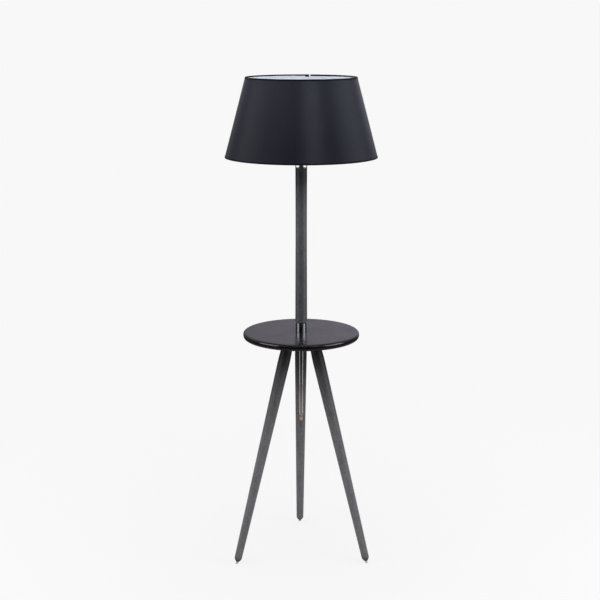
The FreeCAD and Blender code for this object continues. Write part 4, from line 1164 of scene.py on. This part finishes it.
# what the paper returns where nothing shades it, so that glow and paper together come to PALE
lit = fm.fit(reach, FLOOR_LIT[0][0], FLOOR_LIT[1][0], FLOOR_LIT[0][1], FLOOR_LIT[1][1])
t.links.new(far, shown.inputs[0])
t.links.new(fm.math("DIVIDE", fm.math("SUBTRACT", PALE, fm.math("MULTIPLY", far, lit)), fm.math("SUBTRACT", 1.0, far)), glow.inputs[1])
t.links.new(glow.outputs[0], shown.inputs[1])
t.links.new(paper.outputs[0], shown.inputs[2])
hidden = fm.node("ShaderNodeBsdfDiffuse")
gloss_front = fm.math("MULTIPLY", lp.outputs["Is Glossy Ray"], fm.math("ADD", fm.fit(reach, 1.0, 1.35, 0.30, 0.0, True), fm.fit(reach, 1.50, 1.92, 0.0, 0.62, True)))
edge = fm.math("MULTIPLY", edge, fm.math("SUBTRACT", 1.0, gloss_front))
grey = fm.vec(edge, edge, edge)
t.links.new(grey, hidden.inputs[0])
pick = fm.node("ShaderNodeMixShader")
t.links.new(lp.outputs["Is Camera Ray"], pick.inputs[0])
t.links.new(hidden.outputs[0], pick.inputs[1])
t.links.new(shown.outputs[0], pick.inputs[2])
under = fm.node("ShaderNodeBsdfTransparent")
side = fm.node("ShaderNodeMixShader")
t.links.new(geo.outputs["Backfacing"], side.inputs[0])
t.links.new(pick.outputs[0], side.inputs[1])
t.links.new(under.outputs[0], side.inputs[2])
t.links.new(side.outputs[0], fm.out.inputs[0])
floor.data.materials.append(fm.m)

# ------------------------------------------------------------------ world: a studio seen only by the lamp
world = bpy.data.worlds.new("studio")
scene.world = world
world.use_nodes = True
wm = Mat.__new__(Mat)
wm.m, wm.t, wm.src, wm._loc, wm._surf = world, world.node_tree, "cad", None, None
wt = world.node_tree
wt.nodes.clear()
wout = wt.nodes.new("ShaderNodeOutputWorld")
wbg = wt.nodes.new("ShaderNodeBackground")
wlp = wt.nodes.new("ShaderNodeLightPath")
tc = wt.nodes.new("ShaderNodeTexCoord")
dx, dy, dz = wm.xyz(tc.outputs["Generated"])
ny = wm.math("MULTIPLY", dy, -1.0)
az_ = wm.math("MULTIPLY", wm.math("ARCTAN2", dx, ny), 180.0 / math.pi)      # 0 towards the camera, 90 to the right
el_ = wm.math("MULTIPLY", wm.math("ARCSINE", dz), 180.0 / math.pi)


def window(v, centre, width, soft):
    d = wm.math("ABSOLUTE", wm.math("SUBTRACT", v, centre))
    return wm.fit(d, width / 2 - soft / 2, width / 2 + soft / 2, 1.0, 0.0, True)


def light(az, aw, asoft, el, ew, esoft, level):
    return wm.math("MULTIPLY", wm.math("MULTIPLY", window(az_, az, aw, asoft), window(el_, el, ew, esoft)), level)


total = wm.fit(el_, -5.0, 90.0, 0.07, 0.16)
side_back = wm.fit(wm.math("ABSOLUTE", az_), 125.0, 155.0, 0.0, 1.0, True)
band = wm.math("MULTIPLY", side_back, window(el_, 16.0, 34.0, 18.0))      # what the table top mirrors
parts = [
    light(27.0, 9.0, 8.0, 27.0, 26.0, 16.0, 1.10),      # small panel right of the camera
    wm.math("MULTIPLY", band, wm.fit(dx, -0.20, 0.25, 0.27, 0.65, True)),
    wm.fit(el_, 52.0, 66.0, 0.0, 0.60, True),             # overhead
]
for p_ in parts:
    total = wm.math("ADD", total, p_)
# in front the studio is dark up to the top of the softboxes
front = wm.math("MULTIPLY", wm.fit(wm.math("ABSOLUTE", az_), 20.0, 44.0, 1.0, 0.0, True), wm.fit(el_, 34.0, 50.0, 1.0, 0.0, True))
panel = light(27.0, 9.0, 8.0, 27.0, 26.0, 16.0, 1.0)
front = wm.math("MULTIPLY", front, wm.math("SUBTRACT", 1.0, panel))
front = wm.math("MULTIPLY", front, wm.math("SUBTRACT", 1.0, wm.math("MULTIPLY", wlp.outputs["Is Diffuse Ray"], 0.80)))
total = wm.math("MULTIPLY", total, wm.fit(front, 0.0, 1.0, 1.0, 0.18))
strength = wm.math("ADD", wm.math("MULTIPLY", total, wm.math("SUBTRACT", 1.0, wlp.outputs["Is Camera Ray"])),
                   wm.math("MULTIPLY", wlp.outputs["Is Camera Ray"], PALE))
violet = wm.math("MULTIPLY", band, wm.math("SUBTRACT", 1.0, wlp.outputs["Is Camera Ray"]))
wt.links.new(wm.mix(violet, (1.0, 1.0, 1.0), (1.0, 0.93, 1.10)), wbg.inputs[0])
wt.links.new(strength, wbg.inputs[1])
wt.links.new(wbg.outputs[0], wout.inputs[0])
world.cycles.sampling_method = "MANUAL"
world.cycles.sample_map_resolution = 512

# ------------------------------------------------------------------ lamps
def softbox(name, place, aim, size, level, high=None):
    d = bpy.data.lights.new(name, "AREA")
    d.shape = "RECTANGLE" if high else "DISK"
    d.size = size
    if high:
        d.size_y = high
    d.energy = level * math.pi * (size * high if high else math.pi * (size / 2) ** 2)      # level is the radiance of its face
    o = bpy.data.objects.new(name, d)
    scene.collection.objects.link(o)
    o.location = place
    o.rotation_euler = (Vector(aim) - Vector(place)).to_track_quat("-Z", "Y").to_euler()
    o.visible_camera = False
    return o


softbox("overhead", (0.0, -0.35, 3.0), (0.0, 0.0, 0.8), 1.3, 1.6)
side_right = softbox("side_right", (1.918, -0.854, 1.15), (0.0, 0.0, 1.15), 1.5, 2.5, 1.5)
side_left = softbox("side_left", (-1.918, -0.854, 1.15), (0.0, 0.0, 1.15), 1.5, 2.1, 1.5)
# light that the paper throws up into the shade
inner = softbox("shade_fill", (0.0, 0.0, 1.02), (0.0, 0.0, 1.5), 0.56, 2.57)
inside = bpy.data.collections.new("inside_of_shade")
for o in scene.objects:
    if o.name in ("shade_lining_sheet", "carrier_arms_wire", "carrier_ring_flat", "carrier_welds", "wire_ring_top", "wire_ring_bottom", "bulb_dome", "bulb_body"):
        inside.objects.link(o)
inner.light_linking.receiver_collection = inside
# a slim panel to the right of the camera that only the cloth shows
slim = softbox("slim_panel", (0.81, -2.567, 2.64), (0.0, 0.0, 1.34), 0.34, 5.6, 1.3)
cloth_right = softbox("cloth_right", (2.099, -0.073, 1.90), (0.0, 0.0, 1.34), 1.9, 0.86, 1.6)
cloth_left = softbox("cloth_left", (-2.099, -0.037, 1.90), (0.0, 0.0, 1.34), 1.9, 0.66, 1.6)
cloth_front = softbox("cloth_front", (-1.405, -1.561, 2.25), (0.0, 0.0, 1.34), 1.5, 0.40, 1.4)
outside = bpy.data.collections.new("outside_of_shade")
for nm in ("shade_cover_cloth", "edge_tape_top", "edge_tape_bottom"):
    outside.objects.link(scene.objects[nm])
for lamp, shade_of in ((slim, (0.95, 1.0, 1.10)), (cloth_right, (0.95, 1.0, 1.10)), (cloth_left, (0.985, 1.0, 1.05)),
                       (cloth_front, (0.985, 1.0, 1.05))):
    lamp.light_linking.receiver_collection = outside
    lamp.data.color = shade_of
# two strips low down at the sides, which only the polished tube shows
tube_only = bpy.data.collections.new("tube_only")
for nm in ("cord_tube_polished", "tube_end_ferrule"):
    tube_only.objects.link(scene.objects[nm])
for nm, s, level in (("strip_right", 1.0, 1.24), ("strip_left", -1.0, 1.08)):
    for part, out, wide, deep in (("_far", 2.60, 1.48, 0.70), ("_mid", 2.05, 0.84, 0.40), ("_near", 1.625, 0.36, 0.45)):
        mid = Vector((s * math.sin(1.43), -math.cos(1.43), 0.0)) * out + Vector((0.0, 0.0, 0.002))
        strip = softbox(nm + part, mid, mid + Vector((0.0, 0.0, 1.0)), wide, level, deep)
        strip.rotation_euler = (math.pi, 0.0, s * 1.43)
        strip.light_linking.receiver_collection = tube_only
# the softboxes for everything else stand a little further to the front
others = bpy.data.collections.new("all_but_the_cloth")
for o in scene.objects:
    if o.type == "MESH" and o.name not in outside.objects:
        others.objects.link(o)
rim_right = softbox("rim_right", (1.96, 1.531, 2.678), (0.0, 0.0, 1.0), 2.3, 0.85, 1.5)
rim_left = softbox("rim_left", (-1.96, 1.531, 2.678), (0.0, 0.0, 1.0), 2.3, 0.75, 1.5)
for lamp in (side_right, side_left, rim_right, rim_left):
    lamp.light_linking.receiver_collection = others
